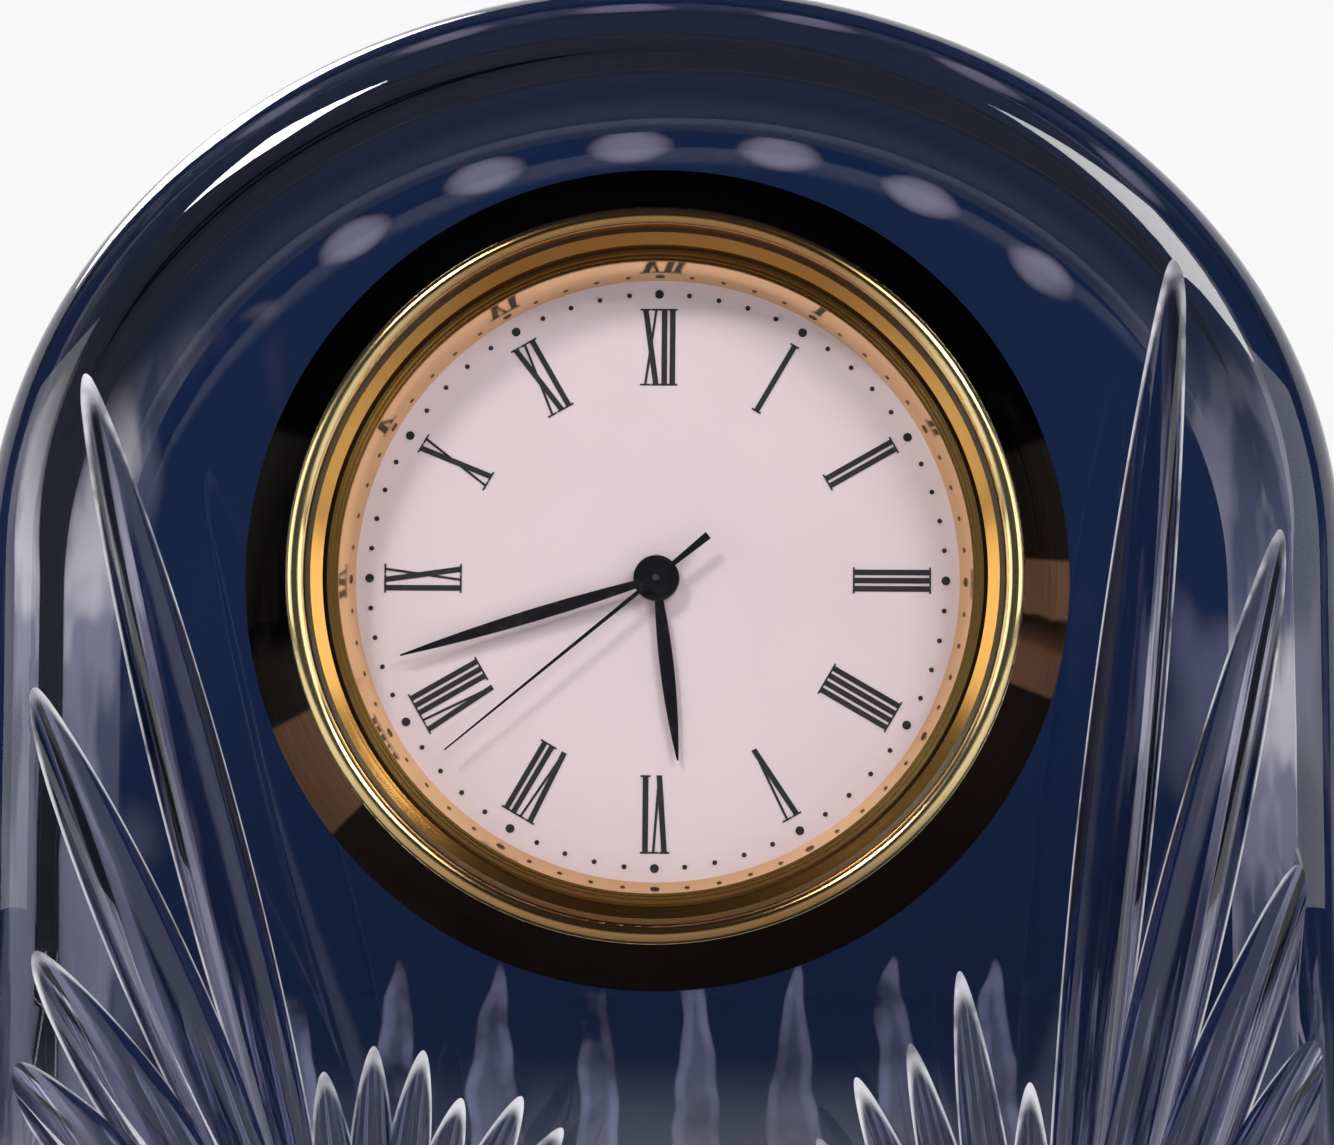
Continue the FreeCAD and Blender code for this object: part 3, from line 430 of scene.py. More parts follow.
def ringAcross(inset):
    # front edge, side and back edge of the block, as (distance inwards, y), drawn in by an inset
    front, back, roll = faceY, faceY + block["depth"], block["roll"]
    ring = []
    for middle, start in ((front + roll, 0.0), (back - roll, math.pi / 2)):
        for step in range(block["rollSteps"] + 1):
            angle = start + math.pi / 2 * step / block["rollSteps"]
            radius = roll - inset
            ring.append((roll - radius * math.sin(angle), middle - radius * math.cos(angle)))
    return ring


def plainBlock():
    mesh = bpy.data.meshes.new("plainBlock")
    work = bmesh.new()
    grid = []
    path = outline()
    foot = path[0]
    sections = [((foot[0], 0.0, foot[2], foot[3]), block["footBevel"])]
    sections += [(point, 0.0) for point in path]
    sections += [((-foot[0], 0.0, -foot[2], foot[3]), block["footBevel"])]
    for (x, z, inX, inZ), inset in sections:
        grid.append([work.verts.new((x + inX * deep, y, z + inZ * deep)) for deep, y in ringAcross(inset)])
    clear, navy, edge = 0, 1, 2
    kinds = {}
    for first, second in zip(grid, grid[1:]):
        for low in range(len(first) - 1):
            quad = work.faces.new((first[low], first[low + 1], second[low + 1], second[low]))
            kinds[quad] = clear if low < block["rollSteps"] else edge
    kinds[work.faces.new([section[0] for section in grid[1:-1]])] = clear
    kinds[work.faces.new([section[-1] for section in grid[1:-1]])] = navy
    kinds[work.faces.new((grid[0][0], grid[1][0], grid[-2][0], grid[-1][0]))] = clear
    kinds[work.faces.new((grid[0][-1], grid[1][-1], grid[-2][-1], grid[-1][-1]))] = navy
    kinds[work.faces.new(grid[0] + grid[-1][::-1])] = edge
    bmesh.ops.recalc_face_normals(work, faces=work.faces)
    for quad, kind in kinds.items():
        quad.material_index = kind
    work.to_mesh(mesh)
    work.free()
    return mesh


def nameSockets(nodeTree, inputs):
    for name, kind in inputs:
        nodeTree.interface.new_socket(name, in_out="INPUT", socket_type="NodeSocket" + kind)
    nodeTree.interface.new_socket("Geometry", in_out="OUTPUT", socket_type="NodeSocketGeometry")


def leafPlan():
    # one point for each cut, at the middle of its spindle, with what the cutting tree reads there
    rows = []
    for side, foot, longs, shorts in ((-1, "leftFoot", "leftLong", "leftShort"),
                                      (1, "rightFoot", "rightLong", "rightShort")):
        footX = cuts[foot][0] * block["halfWidth"]
        footZ = cuts[foot][1] * block["height"]
        for kind, table in (("long", longs), ("short", shorts)):
            depth, wheel, start = cuts[kind + "Depth"], cuts[kind + "Wheel"], cuts[kind + "Start"]
            for degrees, share in cuts[table]:
                reach = share * block["height"]
                half = (reach - start) / 2
                arc = (half ** 2 + depth ** 2) / (2 * depth)
                lift = wheel - depth
                fall = wheel - lift / 2
                end = math.sqrt(2 * arc * fall - fall ** 2)
                angle = math.radians(side * degrees)
                aim = Vector((math.sin(angle), 0.0, math.cos(angle)))
                middle = Vector((footX, faceY - lift, footZ)) + aim * (reach + start) / 2
                rows.append((middle, aim, end, arc, wheel))
    mesh = bpy.data.meshes.new("leafPlan")
    mesh.from_pydata([row[0] for row in rows], [], [])
    aims = mesh.attributes.new("aim", "FLOAT_VECTOR", "POINT")
    for index, row in enumerate(rows):
        aims.data[index].vector = row[1]
    for name, column in (("reach", 2), ("arc", 3), ("wheel", 4)):
        values = mesh.attributes.new(name, "FLOAT", "POINT")
        for index, row in enumerate(rows):
            values.data[index].value = row[column]
    return mesh, len(rows)


def cuttingTree(cutMaterial):
    # cuts the leaves into a block one after another, each a spindle whose size is read at its point
    nodeTree = bpy.data.node_groups.new("leafCutting", "GeometryNodeTree")
    nameSockets(nodeTree, (("Plan", "Geometry"), ("Plain Block", "Object"), ("Bore", "Object"),
                           ("Leaves", "Int"), ("Around", "Int"), ("Along", "Int")))
    tree = Tree(nodeTree)
    given = tree.add("NodeGroupInput")
    asMade, takeAway = {"transform_space": "ORIGINAL"}, {"operation": "DIFFERENCE", "solver": "MANIFOLD"}
    blockMesh = tree.add("GeometryNodeObjectInfo", asMade, {"Object": given["Plain Block"]})["Geometry"]
    boreMesh = tree.add("GeometryNodeObjectInfo", asMade, {"Object": given["Bore"]})["Geometry"]
    bored = tree.add("GeometryNodeMeshBoolean", takeAway, {"Mesh 1": blockMesh, "Mesh 2": boreMesh})[0]
    start = nodeTree.nodes.new("GeometryNodeRepeatInput")
    end = nodeTree.nodes.new("GeometryNodeRepeatOutput")
    start.pair_with_output(end)
    tree.link(given["Leaves"], start, "Iterations")
    tree.link(bored, start, "Geometry")
    turn = Wire(tree, start.outputs["Iteration"])

    def read(name, kind):
        if name == "position":
            field = tree.add("GeometryNodeInputPosition")[0]
        else:
            named = tree.add("GeometryNodeInputNamedAttribute", {"data_type": kind}, {"Name": name})
            field = named["Attribute"]
        sample = tree.add("GeometryNodeSampleIndex", {"data_type": kind, "domain": "POINT"},
                          {"Geometry": given["Plan"], "Value": field, "Index": turn})
        return sample["Value"]

    middle = read("position", "FLOAT_VECTOR")
    aim = read("aim", "FLOAT_VECTOR")
    reach = read("reach", "FLOAT")
    arc = read("arc", "FLOAT")
    wheel = read("wheel", "FLOAT")
    step = tree.add("ShaderNodeVectorMath", {"operation": "SCALE"}, {0: aim, "Scale": reach})[0]
    low = tree.add("ShaderNodeVectorMath", {"operation": "SUBTRACT"}, {0: middle, 1: step})[0]
    high = tree.add("ShaderNodeVectorMath", {"operation": "ADD"}, {0: middle, 1: step})[0]
    line = tree.add("GeometryNodeCurvePrimitiveLine", None, {"Start": low, "End": high})["Curve"]
    fine = tree.add("GeometryNodeResampleCurve", None, {"Curve": line, "Count": given["Along"]})["Curve"]
    share = tree.add("GeometryNodeSplineParameter")["Factor"]
    along = (share * 2 - 1) * reach
    radius = (arc * arc - along * along) ** 0.5 - arc + wheel
    circle = tree.add("GeometryNodeCurvePrimitiveCircle", None,
                      {"Resolution": given["Around"], "Radius": 1.0})["Curve"]
    spindle = tree.add("GeometryNodeCurveToMesh", None,
                       {"Curve": fine, "Profile Curve": circle, "Fill Caps": True, "Scale": radius})["Mesh"]
    marked = tree.add("GeometryNodeSetMaterial", None, {"Geometry": spindle, "Material": cutMaterial})[0]
    soFar = Wire(tree, start.outputs["Geometry"])
    cut = tree.add("GeometryNodeMeshBoolean", takeAway, {"Mesh 1": soFar, "Mesh 2": marked})[0]
    tree.link(cut, end, "Geometry")
    finished = Wire(tree, end.outputs["Geometry"])
    whole = tree.add("GeometryNodeRealizeInstances", None, {"Geometry": finished})[0]
    tree.add("NodeGroupOutput", None, {"Geometry": whole})
    return nodeTree


def setInput(modifier, name, value):
    for item in modifier.node_group.interface.items_tree:
        if item.item_type == "SOCKET" and item.in_out == "INPUT" and item.name == name:
            modifier[item.identifier] = value


def evaluated(piece):
    bpy.context.view_layer.update()
    graph = bpy.context.evaluated_depsgraph_get()
    return bpy.data.meshes.new_from_object(piece.evaluated_get(graph))


def remove(*pieces):
    for piece in pieces:
        bpy.data.objects.remove(piece)


clearGlass = crystalFinish("polishedCrystal", glass["clear"], glass["polish"], glass["wave"])
cutGlass = crystalFinish("cutCrystal", glass["cut"], glass["cutPolish"], glass["cutWave"], withPaintedEdgeLine=True)
navyGlass = crystalFinish("navyBackCrystalWithPaintedLight", glass["navy"], glass["polish"], glass["wave"], backTintWithPaintedLight)
edgeGlass = crystalFinish("edgeCrystal", sides["low"], glass["polish"], glass["edgeWave"], sideTintWithPaintedLight)
groundBore = newMaterial("groundBore", paintBore)


def buildCrystal():
    front, back = faceY, faceY + block["depth"]
    over, bevel, bore = block["boreOver"], block["boreBevel"], block["bore"]
    profile = [(bore + bevel + over, front - over), (bore, front + bevel), (bore, back - bevel),
               (bore + bevel + over, back + over)]
    plainMesh = plainBlock()
    for material in (clearGlass, navyGlass, edgeGlass):
        plainMesh.materials.append(material)
    boreMesh = lathe(profile, block["boreSteps"])
    boreMesh.materials.append(groundBore)
    plain = addObject("plainBlock", plainMesh)
    boring = addObject("boring", boreMesh)
    planMesh, leaves = leafPlan()
    plan = addObject("leafPlan", planMesh)
    modifier = plan.modifiers.new("cutting", "NODES")
    modifier.node_group = cuttingTree(cutGlass)
    sizes = {"Plain Block": plain, "Bore": boring, "Leaves": leaves, "Around": cuts["around"],
             "Along": cuts["along"]}
    for name, value in sizes.items():
        setInput(modifier, name, value)
    mesh = evaluated(plan)
    remove(plan, plain, boring)
    mesh.name = "crystal"
    softenEdges(mesh, block["sharpFrom"])
    piece = newPiece("crystalCutBlock", mesh, "block")
    evenShading(piece)
    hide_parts("crystal_block")
    print("crystal: faces", len(mesh.polygons), "materials", [m.name for m in mesh.materials])


buildCrystal()


gold = {
    # the bevel colour is near black: a painted dark reflection on the gold bevel
    "bevel": (0.008, 0.005, 0.0035), "bead": (0.88, 0.70, 0.34), "ledge": (0.78, 0.60, 0.34),
    # the dark groove colour is painted shade, used in the groove and in the seam
    "cone": (0.62, 0.33, 0.085), "groove": (0.10, 0.045, 0.016), "steps": (0.88, 0.56, 0.16),
    "inside": 19.1 * mm, "outside": 25.1 * mm, "grooveFrom": 19.76 * mm, "coneFrom": 20.005 * mm,
    "ledgeFrom": 20.685 * mm, "seamFrom": 21.0 * mm, "beadFrom": 21.055 * mm, "bevelFrom": 22.18 * mm,
    "bevelFade": (-0.08 * mm, 0.04 * mm), "bevelRough": 0.05, "beadRough": 0.13, "coneRough": 0.20,
    # painted shade: a brown that darkens the ring at its top and bottom, with its share, where it starts and
    # ends, and its drift
    "tarnish": (0.23, 0.095, 0.024), "tarnishShare": 0.85, "tarnishFrom": 0.45, "tarnishTo": 0.95,
    "tarnishDrift": 0.3, "wearNoise": (90.0, 4.0, 0.6), "wearTone": (0.35, 0.80, 0.0, 0.16),
    "wearRough": (0.45, 0.85, 0.0, 0.06),
    # painted reflection: bronze patches on the dark bevel, between the given angles
    "bronze": (0.110, 0.055, 0.030), "bronzePatches": ((-17.0, 1.5), (-158.0, -142.0)), "bronzeSoft": 0.8,
    "turningPitch": 0.055 * mm, "turningHeight": 0.006 * mm, "turningUneven": 9000.0,
    "ringTurning": 0.25, "wallTurning": 0.08,
    "wall": (0.86, 0.58, 0.32), "wallShade": (0.80, 0.50, 0.24), "wallNoise": (140.0, 3.0),
    "wallTone": (0.4, 0.9, 0.0, 0.25), "wallRough": (0.3, 0.8, 0.05, 0.10),
}


def turningMarks(tree, distance, strength):
    # fine rings left by the lathe tool, uneven from one to the next
    rings = (distance * (2 * math.pi / gold["turningPitch"])).maths("SINE")
    uneven = tree.add("ShaderNodeTexNoise", {"noise_dimensions": "1D"},
                      {"W": distance, "Scale": gold["turningUneven"]})[0]
    return tree.bump(rings * uneven, strength, gold["turningHeight"])


def paintedReflectionMask(tree, angle):
    # 1 inside either patch of painted bronze reflection on the bevel, 0 elsewhere
    soft = math.radians(gold["bronzeSoft"])
    mask = 0.0
    for first, last in gold["bronzePatches"]:
        first, last = math.radians(first), math.radians(last)
        opening = tree.ramp(angle, first - soft, first)
        mask = tree.ramp(angle, last, last + soft, 1.0, 0.0) * opening + mask
    return mask


def paintBezel(tree):
    distance, angle, parts = tree.aroundAxis()
    low, high = gold["inside"], gold["outside"]
    # the groove and the seam bands take the dark colour: painted shade in these recesses
    bands = (("grooveFrom", "groove"), ("coneFrom", "cone"), ("ledgeFrom", "ledge"), ("seamFrom", "groove"),
             ("beadFrom", "bead"), ("bevelFrom", "bevel"))
    stops = [(0.0, gold["steps"])]
    stops += [((gold[start] - low) / (high - low), gold[tone]) for start, tone in bands]
    ramp = tree.add("ShaderNodeValToRGB", {"stops": stops}, {"Fac": (distance - low) / (high - low)})
    ramp.node.color_ramp.interpolation = "CONSTANT"
    wear = tree.noise(*gold["wearNoise"])
    wearAndPaintedShade = tree.mix(tree.ramp(wear, *gold["wearTone"]), ramp["Color"], gold["cone"])
    # painted shade: the gold is darkened to brown towards the top and the bottom of the ring, standing in for
    # light that falls from the sides
    upright = (parts[2] / distance).maths("ABSOLUTE") + (wear - 0.5) * gold["tarnishDrift"]
    paintedShade = tree.ramp(upright, gold["tarnishFrom"], gold["tarnishTo"], 0.0, gold["tarnishShare"])
    wearAndPaintedShade = tree.mix(paintedShade, wearAndPaintedShade, gold["tarnish"])
    onCone = tree.ramp(distance, gold["seamFrom"], gold["beadFrom"], 1.0, 0.0)
    onBevel = tree.ramp(distance, *[gold["bevelFrom"] + fade for fade in gold["bevelFade"]])
    rough = onCone * (gold["coneRough"] - gold["beadRough"]) + gold["beadRough"]
    rough = rough - onBevel * (gold["beadRough"] - gold["bevelRough"]) + tree.ramp(wear, *gold["wearRough"])
    # on the bevel the colour stays the near-black bevel tone, a painted dark reflection
    colour = tree.mix(onBevel, wearAndPaintedShade, ramp["Color"])
    # painted reflection: bronze patches laid on the bevel
    colour = tree.mix(onBevel * paintedReflectionMask(tree, angle), colour, gold["bronze"])
    return principled(tree, colour=colour, rough=rough, metal=1.0,
                      normal=turningMarks(tree, distance, gold["ringTurning"]))


def paintWall(tree):
    distance = tree.aroundAxis()[0]
    haze = tree.noise(*gold["wallNoise"])
    colour = tree.mix(tree.ramp(haze, *gold["wallTone"]), gold["wall"], gold["wallShade"])
    return principled(tree, colour=colour, rough=tree.ramp(haze, *gold["wallRough"]), metal=1.0,
                      normal=turningMarks(tree, distance, gold["wallTurning"]))


smoothCopy("bezel", "goldBezel", newMaterial("goldPlate", paintBezel), degrees=20)
smoothCopy("reflector_ring", "giltReflector", newMaterial("giltWall", paintWall), degrees=20)
print("bezel ready")


face = {
    "dial": (0.80, 0.685, 0.705), "dialShade": (0.74, 0.63, 0.65), "dialCloud": (60.0, 4.0, 0.55),
    "dialTone": (0.25, 0.85), "dialGrain": (9000.0, 2.0), "dialRough": (0.3, 0.7, 0.38, 0.50),
    "dialBump": (0.10, 0.004 * mm), "dialSheen": 0.05,
    "ink": (0.010, 0.010, 0.012), "inkPale": (0.035, 0.033, 0.036), "inkGrain": (6000.0, 3.0),
    "inkTone": (0.45, 0.9, 0.0, 0.4), "inkRough": (0.2, 0.8, 0.42, 0.6),
    "hand": (0.006, 0.006, 0.007), "handWorn": (0.045, 0.040, 0.036), "handWear": (900.0, 4.0, 0.65),
    "handTone": (0.55, 0.9, 0.0, 0.6), "handRough": (0.3, 0.8, 0.14, 0.32), "handBump": (0.12, 0.006 * mm),
    "lacquer": 0.7, "lacquerRough": 0.08,
    "lensTint": (0.985, 0.98, 0.985), "lensGloss": 0.010, "lensFall": 5.0, "lensSmudge": (70.0, 4.0, 0.6),
    "lensRough": (0.4, 0.9, 0.0, 0.05),
}
dots = {
    "count": 60, "hourStep": 5, "circle": 17.6 * mm, "hourDot": 0.27 * mm, "minuteDot": 0.15 * mm,
    "front": -15.74 * mm, "back": -15.70 * mm, "turn": 0.5, "sides": 20,
}


def paintLens(tree):
    grazing = tree.add("ShaderNodeLayerWeight", None, {"Blend": 0.5})["Facing"]
    gloss = grazing ** face["lensFall"] * (1 - face["lensGloss"]) + face["lensGloss"]
    through = tree.add("ShaderNodeBsdfTransparent", None, {"Color": (*face["lensTint"], 1.0)})[0]
    rough = tree.ramp(tree.noise(*face["lensSmudge"]), *face["lensRough"])
    shine = tree.add("ShaderNodeBsdfGlossy", None, {"Color": (1.0, 1.0, 1.0, 1.0), "Roughness": rough})[0]
    return tree.add("ShaderNodeMixShader", None, {0: gloss, 1: through, 2: shine})[0]


def paintDial(tree):
    cloud = tree.noise(*face["dialCloud"])
    grain = tree.noise(*face["dialGrain"])
    colour = tree.mix(tree.ramp(cloud, *face["dialTone"]), face["dial"], face["dialShade"])
    return principled(tree, colour=colour, rough=tree.ramp(grain, *face["dialRough"]),
                      normal=tree.bump(grain, *face["dialBump"]), sheen=face["dialSheen"])


def paintInk(tree):
    grain = tree.noise(*face["inkGrain"])
    colour = tree.mix(tree.ramp(grain, *face["inkTone"]), face["ink"], face["inkPale"])
    return principled(tree, colour=colour, rough=tree.ramp(grain, *face["inkRough"]))


def paintHand(tree):
    wear = tree.noise(*face["handWear"])
    colour = tree.mix(tree.ramp(wear, *face["handTone"]), face["hand"], face["handWorn"])
    return principled(tree, colour=colour, rough=tree.ramp(wear, *face["handRough"]),
                      normal=tree.bump(wear, *face["handBump"]), coat=face["lacquer"],
                      coatRough=face["lacquerRough"])


def dotTree(material):
    # a ring of round dots, larger at each hour
    nodeTree = bpy.data.node_groups.new("dotRing", "GeometryNodeTree")
    nameSockets(nodeTree, (("Geometry", "Geometry"), ("Dots", "Int"), ("Hour Step", "Int"),
                           ("Circle", "Float"), ("Hour Dot", "Float"), ("Minute Dot", "Float"),
                           ("Height", "Float"), ("Sides", "Int"), ("Turn", "Float"), ("Place", "Vector")))
    tree = Tree(nodeTree)
    given = tree.add("NodeGroupInput")
    ring = tree.add("GeometryNodeMeshCircle", None, {"Vertices": given["Dots"], "Radius": given["Circle"]})[0]
    index = tree.add("GeometryNodeInputIndex")[0]
    onHour = tree.add("FunctionNodeCompare", {"data_type": "INT", "operation": "EQUAL"},
                      {2: index.maths("MODULO", given["Hour Step"]), 3: 0})[0]
    size = tree.add("GeometryNodeSwitch", {"input_type": "FLOAT"},
                    {"Switch": onHour, "False": given["Minute Dot"], "True": given["Hour Dot"]})[0]
    scale = tree.add("ShaderNodeCombineXYZ", None, {0: size, 1: size, 2: 1.0})[0]
    dot = tree.add("GeometryNodeMeshCylinder", {"fill_type": "NGON"},
                   {"Vertices": given["Sides"], "Radius": 1.0, "Depth": given["Height"]})["Mesh"]
    placed = tree.add("GeometryNodeInstanceOnPoints", None,
                      {"Points": ring, "Instance": dot, "Scale": scale})[0]
    whole = tree.add("GeometryNodeRealizeInstances", None, {"Geometry": placed})[0]
    tipped = tree.add("ShaderNodeCombineXYZ", None, {0: math.pi / 2, 1: given["Turn"], 2: 0.0})[0]
    moved = tree.add("GeometryNodeTransform", None,
                     {"Geometry": whole, "Translation": given["Place"], "Rotation": tipped})[0]
    inked = tree.add("GeometryNodeSetMaterial", None, {"Geometry": moved, "Material": material})[0]
    tree.add("NodeGroupOutput", None, {"Geometry": inked})
    return nodeTree


def grown(name, nodeTree, values):
    # runs a geometry tree on an empty mesh and keeps the plain result
    carrier = addObject(name, bpy.data.meshes.new(name))
    modifier = carrier.modifiers.new("grow", "NODES")
    modifier.node_group = nodeTree
    for key, value in values.items():
        setInput(modifier, key, value)
    mesh = evaluated(carrier)
    remove(carrier)
    return mesh


printInk = newMaterial("printInk", paintInk)
lacquer = newMaterial("blackLacquer", paintHand)
smoothCopy("lens", "frontLens", newMaterial("lensGlass", paintLens), degrees=28)
dress("dial", newMaterial("whiteDial", paintDial))
dress("dial_numerals", printInk)
dotMesh = grown("dots", dotTree(printInk), {
    "Dots": dots["count"], "Hour Step": dots["hourStep"], "Circle": dots["circle"],
    "Hour Dot": dots["hourDot"], "Minute Dot": dots["minuteDot"], "Height": dots["back"] - dots["front"],
    "Sides": dots["sides"], "Turn": math.radians(90 + dots["turn"]),
    "Place": (0.0, (dots["front"] + dots["back"]) / 2, axisZ)})
softenEdges(dotMesh, degrees=40)
dotPiece = newPiece("minuteDots", dotMesh, "insert")
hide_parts("minute_dots")
for hand in ("hour_hand", "minute_hand", "second_hand"):
    smoothCopy(hand, hand.replace("_h", "H") + "Blade", lacquer, degrees=35)
print("dial and hands ready")


grained = {
    "cloud": (120.0, 4.0, 0.6), "fine": (3.0, 0.6), "fineShare": 0.4, "tone": (0.35, 0.7),
    "roughBand": (0.25, 0.75),
}
wheel = {
    "arbor": 0.24 * mm, "arborEdge": 0.02 * mm, "steel": (0.16, 0.13, 0.11), "white": (0.82, 0.81, 0.77),
    "shade": (0.75, 0.74, 0.70), "grain": (1500.0, 3.0, 0.6), "rough": (0.25, 0.75, 0.28, 0.44),
}


def plainFinish(name, colour, other, low, high, metal=0.0, grain=1500.0, depth=0.004 * mm, strength=0.3):
    # two close tones and a grained surface
    def paint(tree):
        cloud = tree.noise(*grained["cloud"])
        fine = tree.noise(grain, *grained["fine"])
        blend = cloud * (1 - grained["fineShare"]) + fine * grained["fineShare"]
        return principled(tree, colour=tree.mix(tree.ramp(blend, *grained["tone"]), colour, other),
                          rough=tree.ramp(fine, *grained["roughBand"], low, high), metal=metal,
                          normal=tree.bump(fine, strength, depth))
    return newMaterial(name, paint)


def paintSecondWheel(tree):
    # white wheel on a dark steel arbor whose tip shows in the middle of the hands
    distance = tree.aroundAxis()[0]
    grain = tree.noise(*wheel["grain"])
    onWheel = tree.ramp(distance, wheel["arbor"], wheel["arbor"] + wheel["arborEdge"])
    colour = tree.mix(onWheel, wheel["steel"], tree.mix(grain, wheel["white"], wheel["shade"]))
    return principled(tree, colour=colour, rough=tree.ramp(grain, *wheel["rough"]), metal=1 - onWheel)


# material slot: name, two tones, least and most roughness, then metal, grain, depth and strength if not plain
finishes = {
    "gasket_white": ("whiteGasket", (0.80, 0.78, 0.76), (0.72, 0.70, 0.68), 0.4, 0.55),
    "frame_plastic": ("frameNylon", (0.62, 0.62, 0.60), (0.55, 0.55, 0.53), 0.45, 0.6),
    "plate_plastic": ("plateNylon", (0.70, 0.70, 0.67), (0.62, 0.62, 0.60), 0.45, 0.6),
    "gear_white": ("gearAcetal", (0.82, 0.81, 0.77), (0.75, 0.74, 0.70), 0.30, 0.45),
    "motion_brass": ("motionBrass", (0.72, 0.52, 0.22), (0.64, 0.44, 0.17), 0.20, 0.34, 1.0, 3000.0),
    "steel": ("brightSteel", (0.60, 0.60, 0.61), (0.52, 0.52, 0.53), 0.18, 0.32, 1.0, 3000.0),
    "soft_iron": ("softIron", (0.40, 0.39, 0.38), (0.33, 0.32, 0.31), 0.32, 0.5, 1.0, 2500.0),
    "copper_wire": ("enamelledCopper", (0.60, 0.22, 0.09), (0.50, 0.17, 0.06), 0.22, 0.35, 1.0, 2500.0),
    "board_green": ("circuitBoard", (0.02, 0.10, 0.045), (0.015, 0.075, 0.035), 0.35, 0.5),
    "chip_black": ("chipEpoxy", (0.02, 0.02, 0.02), (0.03, 0.03, 0.03), 0.5, 0.65),
    "case_steel": ("caseSteel", (0.62, 0.61, 0.60), (0.54, 0.53, 0.52), 0.22, 0.36, 1.0, 2200.0),
    "rubber_black": ("gripRubber", (0.018, 0.018, 0.019), (0.028, 0.028, 0.028), 0.62, 0.8, 0.0, 1800.0,
                     0.008 * mm),
    "cover_black": ("grainedCover", (0.030, 0.030, 0.032), (0.044, 0.044, 0.046), 0.42, 0.6, 0.0, 1400.0,
                    0.014 * mm, 0.5),
    "knob_white": ("knobAcetal", (0.80, 0.79, 0.76), (0.73, 0.72, 0.69), 0.32, 0.46),
}
turnedParts = {
    "lens_gasket": "lensGasket", "insert_case": "insertCase", "grip_sleeve": "gripSleeve",
    "back_cover": "backCover", "battery_hatch": "batteryHatch", "setting_knob": "settingKnob",
    "button_cell": "buttonCell", "coil_winding": "coilWinding", "setting_stem": "settingStem",
}
backs = {slotName: plainFinish(*values) for slotName, values in finishes.items()}
for part in frame["record"]["subparts"]:
    node, slotName = part["node"], part["material_slot"]
    if slotName not in backs:
        continue
    if node in turnedParts:
        smoothCopy(node, turnedParts[node], backs[slotName], degrees=32)
    else:
        dress(node, backs[slotName])
dress("second_wheel", newMaterial("secondWheel", paintSecondWheel))
print("case and movement ready")


warm, cool = (1.0, 0.99, 0.97), (0.99, 0.99, 1.0)
overClock, level = (0.0, 0.0, 0.05), (0.0, 0.0, 0.17)
studio = {
    "floor": (0.80, 0.80, 0.81), "floorShade": 0.985, "floorRough": 0.75, "floorSpecular": 0.2,
    "floorNoise": (14.0, 3.0), "floorTone": (0.3, 0.8),
    "reach": 3.0, "curveStart": 0.42, "curveRadius": 0.35, "curveSteps": 16, "top": 1.1,
    "world": (0.055, 0.06, 0.08), "worldLevel": 1.0, "backdrop": (0.94, 0.94, 0.95), "fade": 0.12,
    "nearGlow": 0.35, "farGlow": 1.1,
    # name: place, aim, width, height, watts, colour
    "lamps": {
        "keyBox": ((-0.26, -0.42, 0.44), overClock, 0.12, 0.12, 1.6, (1.0, 0.985, 0.97)),
        "fillBox": ((0.34, -0.46, 0.42), overClock, 0.26, 0.22, 1.9, (1.0, 0.98, 0.985)),
        "rearBox": ((-0.30, 0.36, 0.46), overClock, 0.30, 0.24, 2.2, cool),
        "leftCard": ((-0.46, -0.24, 0.17), level, 0.40, 0.26, 0.52, warm),
        "rightCard": ((0.46, -0.22, 0.17), level, 0.40, 0.26, 0.56, warm),
    },
}


def paintFloor(tree):
    weave = tree.ramp(tree.noise(*studio["floorNoise"]), *studio["floorTone"])
    shade = tuple(channel * studio["floorShade"] for channel in studio["floor"])
    cloth = principled(tree, colour=tree.mix(weave, studio["floor"], shade), rough=studio["floorRough"],
                       specular=studio["floorSpecular"])
    rays = tree.add("ShaderNodeLightPath")
    mirrored = rays["Is Glossy Ray"].maths("MAXIMUM", rays["Is Transmission Ray"])
    rise = tree.add("ShaderNodeSeparateXYZ", None, {0: tree.place()})[2]
    away = tree.add("ShaderNodeVectorMath", {"operation": "LENGTH"}, {0: tree.place()})[1]
    wall = tree.ramp(rise, 0.0, studio["fade"])
    distant = tree.ramp(away, studio["nearGlow"], studio["farGlow"])
    far = wall.maths("MAXIMUM", distant) * rays["Is Camera Ray"]
    glow = tree.add("ShaderNodeEmission", None, {"Color": (*studio["backdrop"], 1.0), "Strength": 1.0})[0]
    glowing = far.maths("MAXIMUM", wall * mirrored)
    return tree.add("ShaderNodeMixShader", None, {0: glowing, 1: cloth, 2: glow})[0]


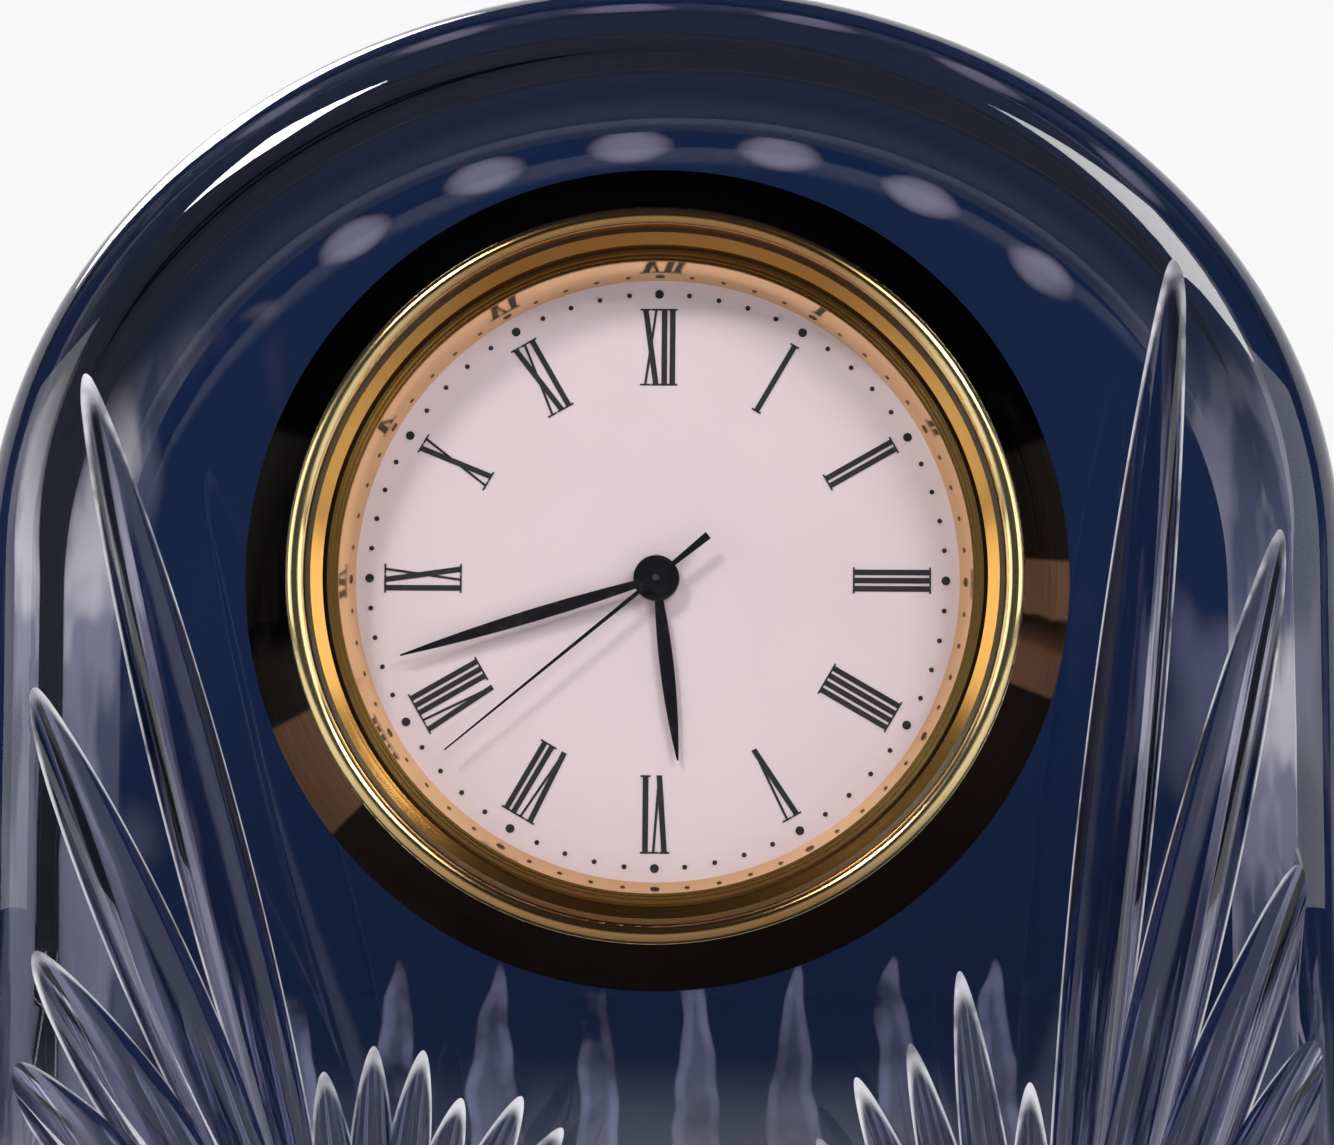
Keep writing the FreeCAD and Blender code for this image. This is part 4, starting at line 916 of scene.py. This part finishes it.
def buildStage():
    # a pale sweep: flat floor that curves up behind
    start, radius, steps = studio["curveStart"], studio["curveRadius"], studio["curveSteps"]
    profile = [(-studio["reach"], 0.0), (start, 0.0)]
    for step in range(1, steps + 1):
        angle = math.pi / 2 * step / steps
        profile.append((start + radius * math.sin(angle), radius * (1 - math.cos(angle))))
    profile.append((start + radius, studio["top"]))
    count = len(profile)
    verts = [(side, y, z) for side in (-studio["reach"], studio["reach"]) for y, z in profile]
    faces = [(index, index + count, index + count + 1, index + 1) for index in range(count - 1)]
    mesh = bpy.data.meshes.new("sweep")
    mesh.from_pydata(verts, [], faces)
    mesh.shade_smooth()
    mesh.materials.append(newMaterial("paleSweep", paintFloor))
    sweep = addObject("sweep", mesh)


def softBox(name, place, aim, wide, tall, watts, colour):
    lamp = bpy.data.lights.new(name, "AREA")
    lamp.shape = "RECTANGLE"
    lamp.size = wide
    lamp.size_y = tall
    lamp.energy = watts
    lamp.color = colour
    holder = addObject(name, lamp)
    holder.location = place
    holder.rotation_euler = (Vector(aim) - Vector(place)).to_track_quat("-Z", "Y").to_euler()
    holder.visible_camera = False


def lightScene():
    for name, values in studio["lamps"].items():
        softBox(name, *values)
    world = bpy.data.worlds.new("studioAir")
    world.use_nodes = True
    world.node_tree.nodes.clear()
    tree = Tree(world.node_tree)
    seen = tree.add("ShaderNodeLightPath")["Is Camera Ray"]
    tone = tree.mix(seen, studio["world"], studio["backdrop"])
    shade = tree.add("ShaderNodeBackground", None, {"Color": tone, "Strength": studio["worldLevel"]})[0]
    tree.add("ShaderNodeOutputWorld", None, {"Surface": shade})
    bpy.context.scene.world = world


camera = {
    "aim": (0.75 * mm, faceY - 2.0 * mm, 54.5 * mm), "distance": 240.0 * mm, "azimuth": 2.3,
    "elevation": -5.5, "lens": 107.6, "sensor": 36.0, "nearest": 10.0 * mm,
}


def setCamera():
    data = bpy.data.cameras.new("photoCamera")
    data.lens = camera["lens"]
    data.sensor_width = camera["sensor"]
    data.clip_start = camera["nearest"]
    holder = addObject("photoCamera", data)
    turn, lift = math.radians(camera["azimuth"]), math.radians(camera["elevation"])
    away = Vector((math.sin(turn) * math.cos(lift), -math.cos(turn) * math.cos(lift), math.sin(lift)))
    holder.location = Vector(camera["aim"]) + away * camera["distance"]
    holder.rotation_euler = (-away).to_track_quat("-Z", "Y").to_euler()
    bpy.context.scene.camera = holder


buildStage()
lightScene()
setCamera()
bpy.context.scene.view_settings.view_transform = "Standard"
print("studio ready")
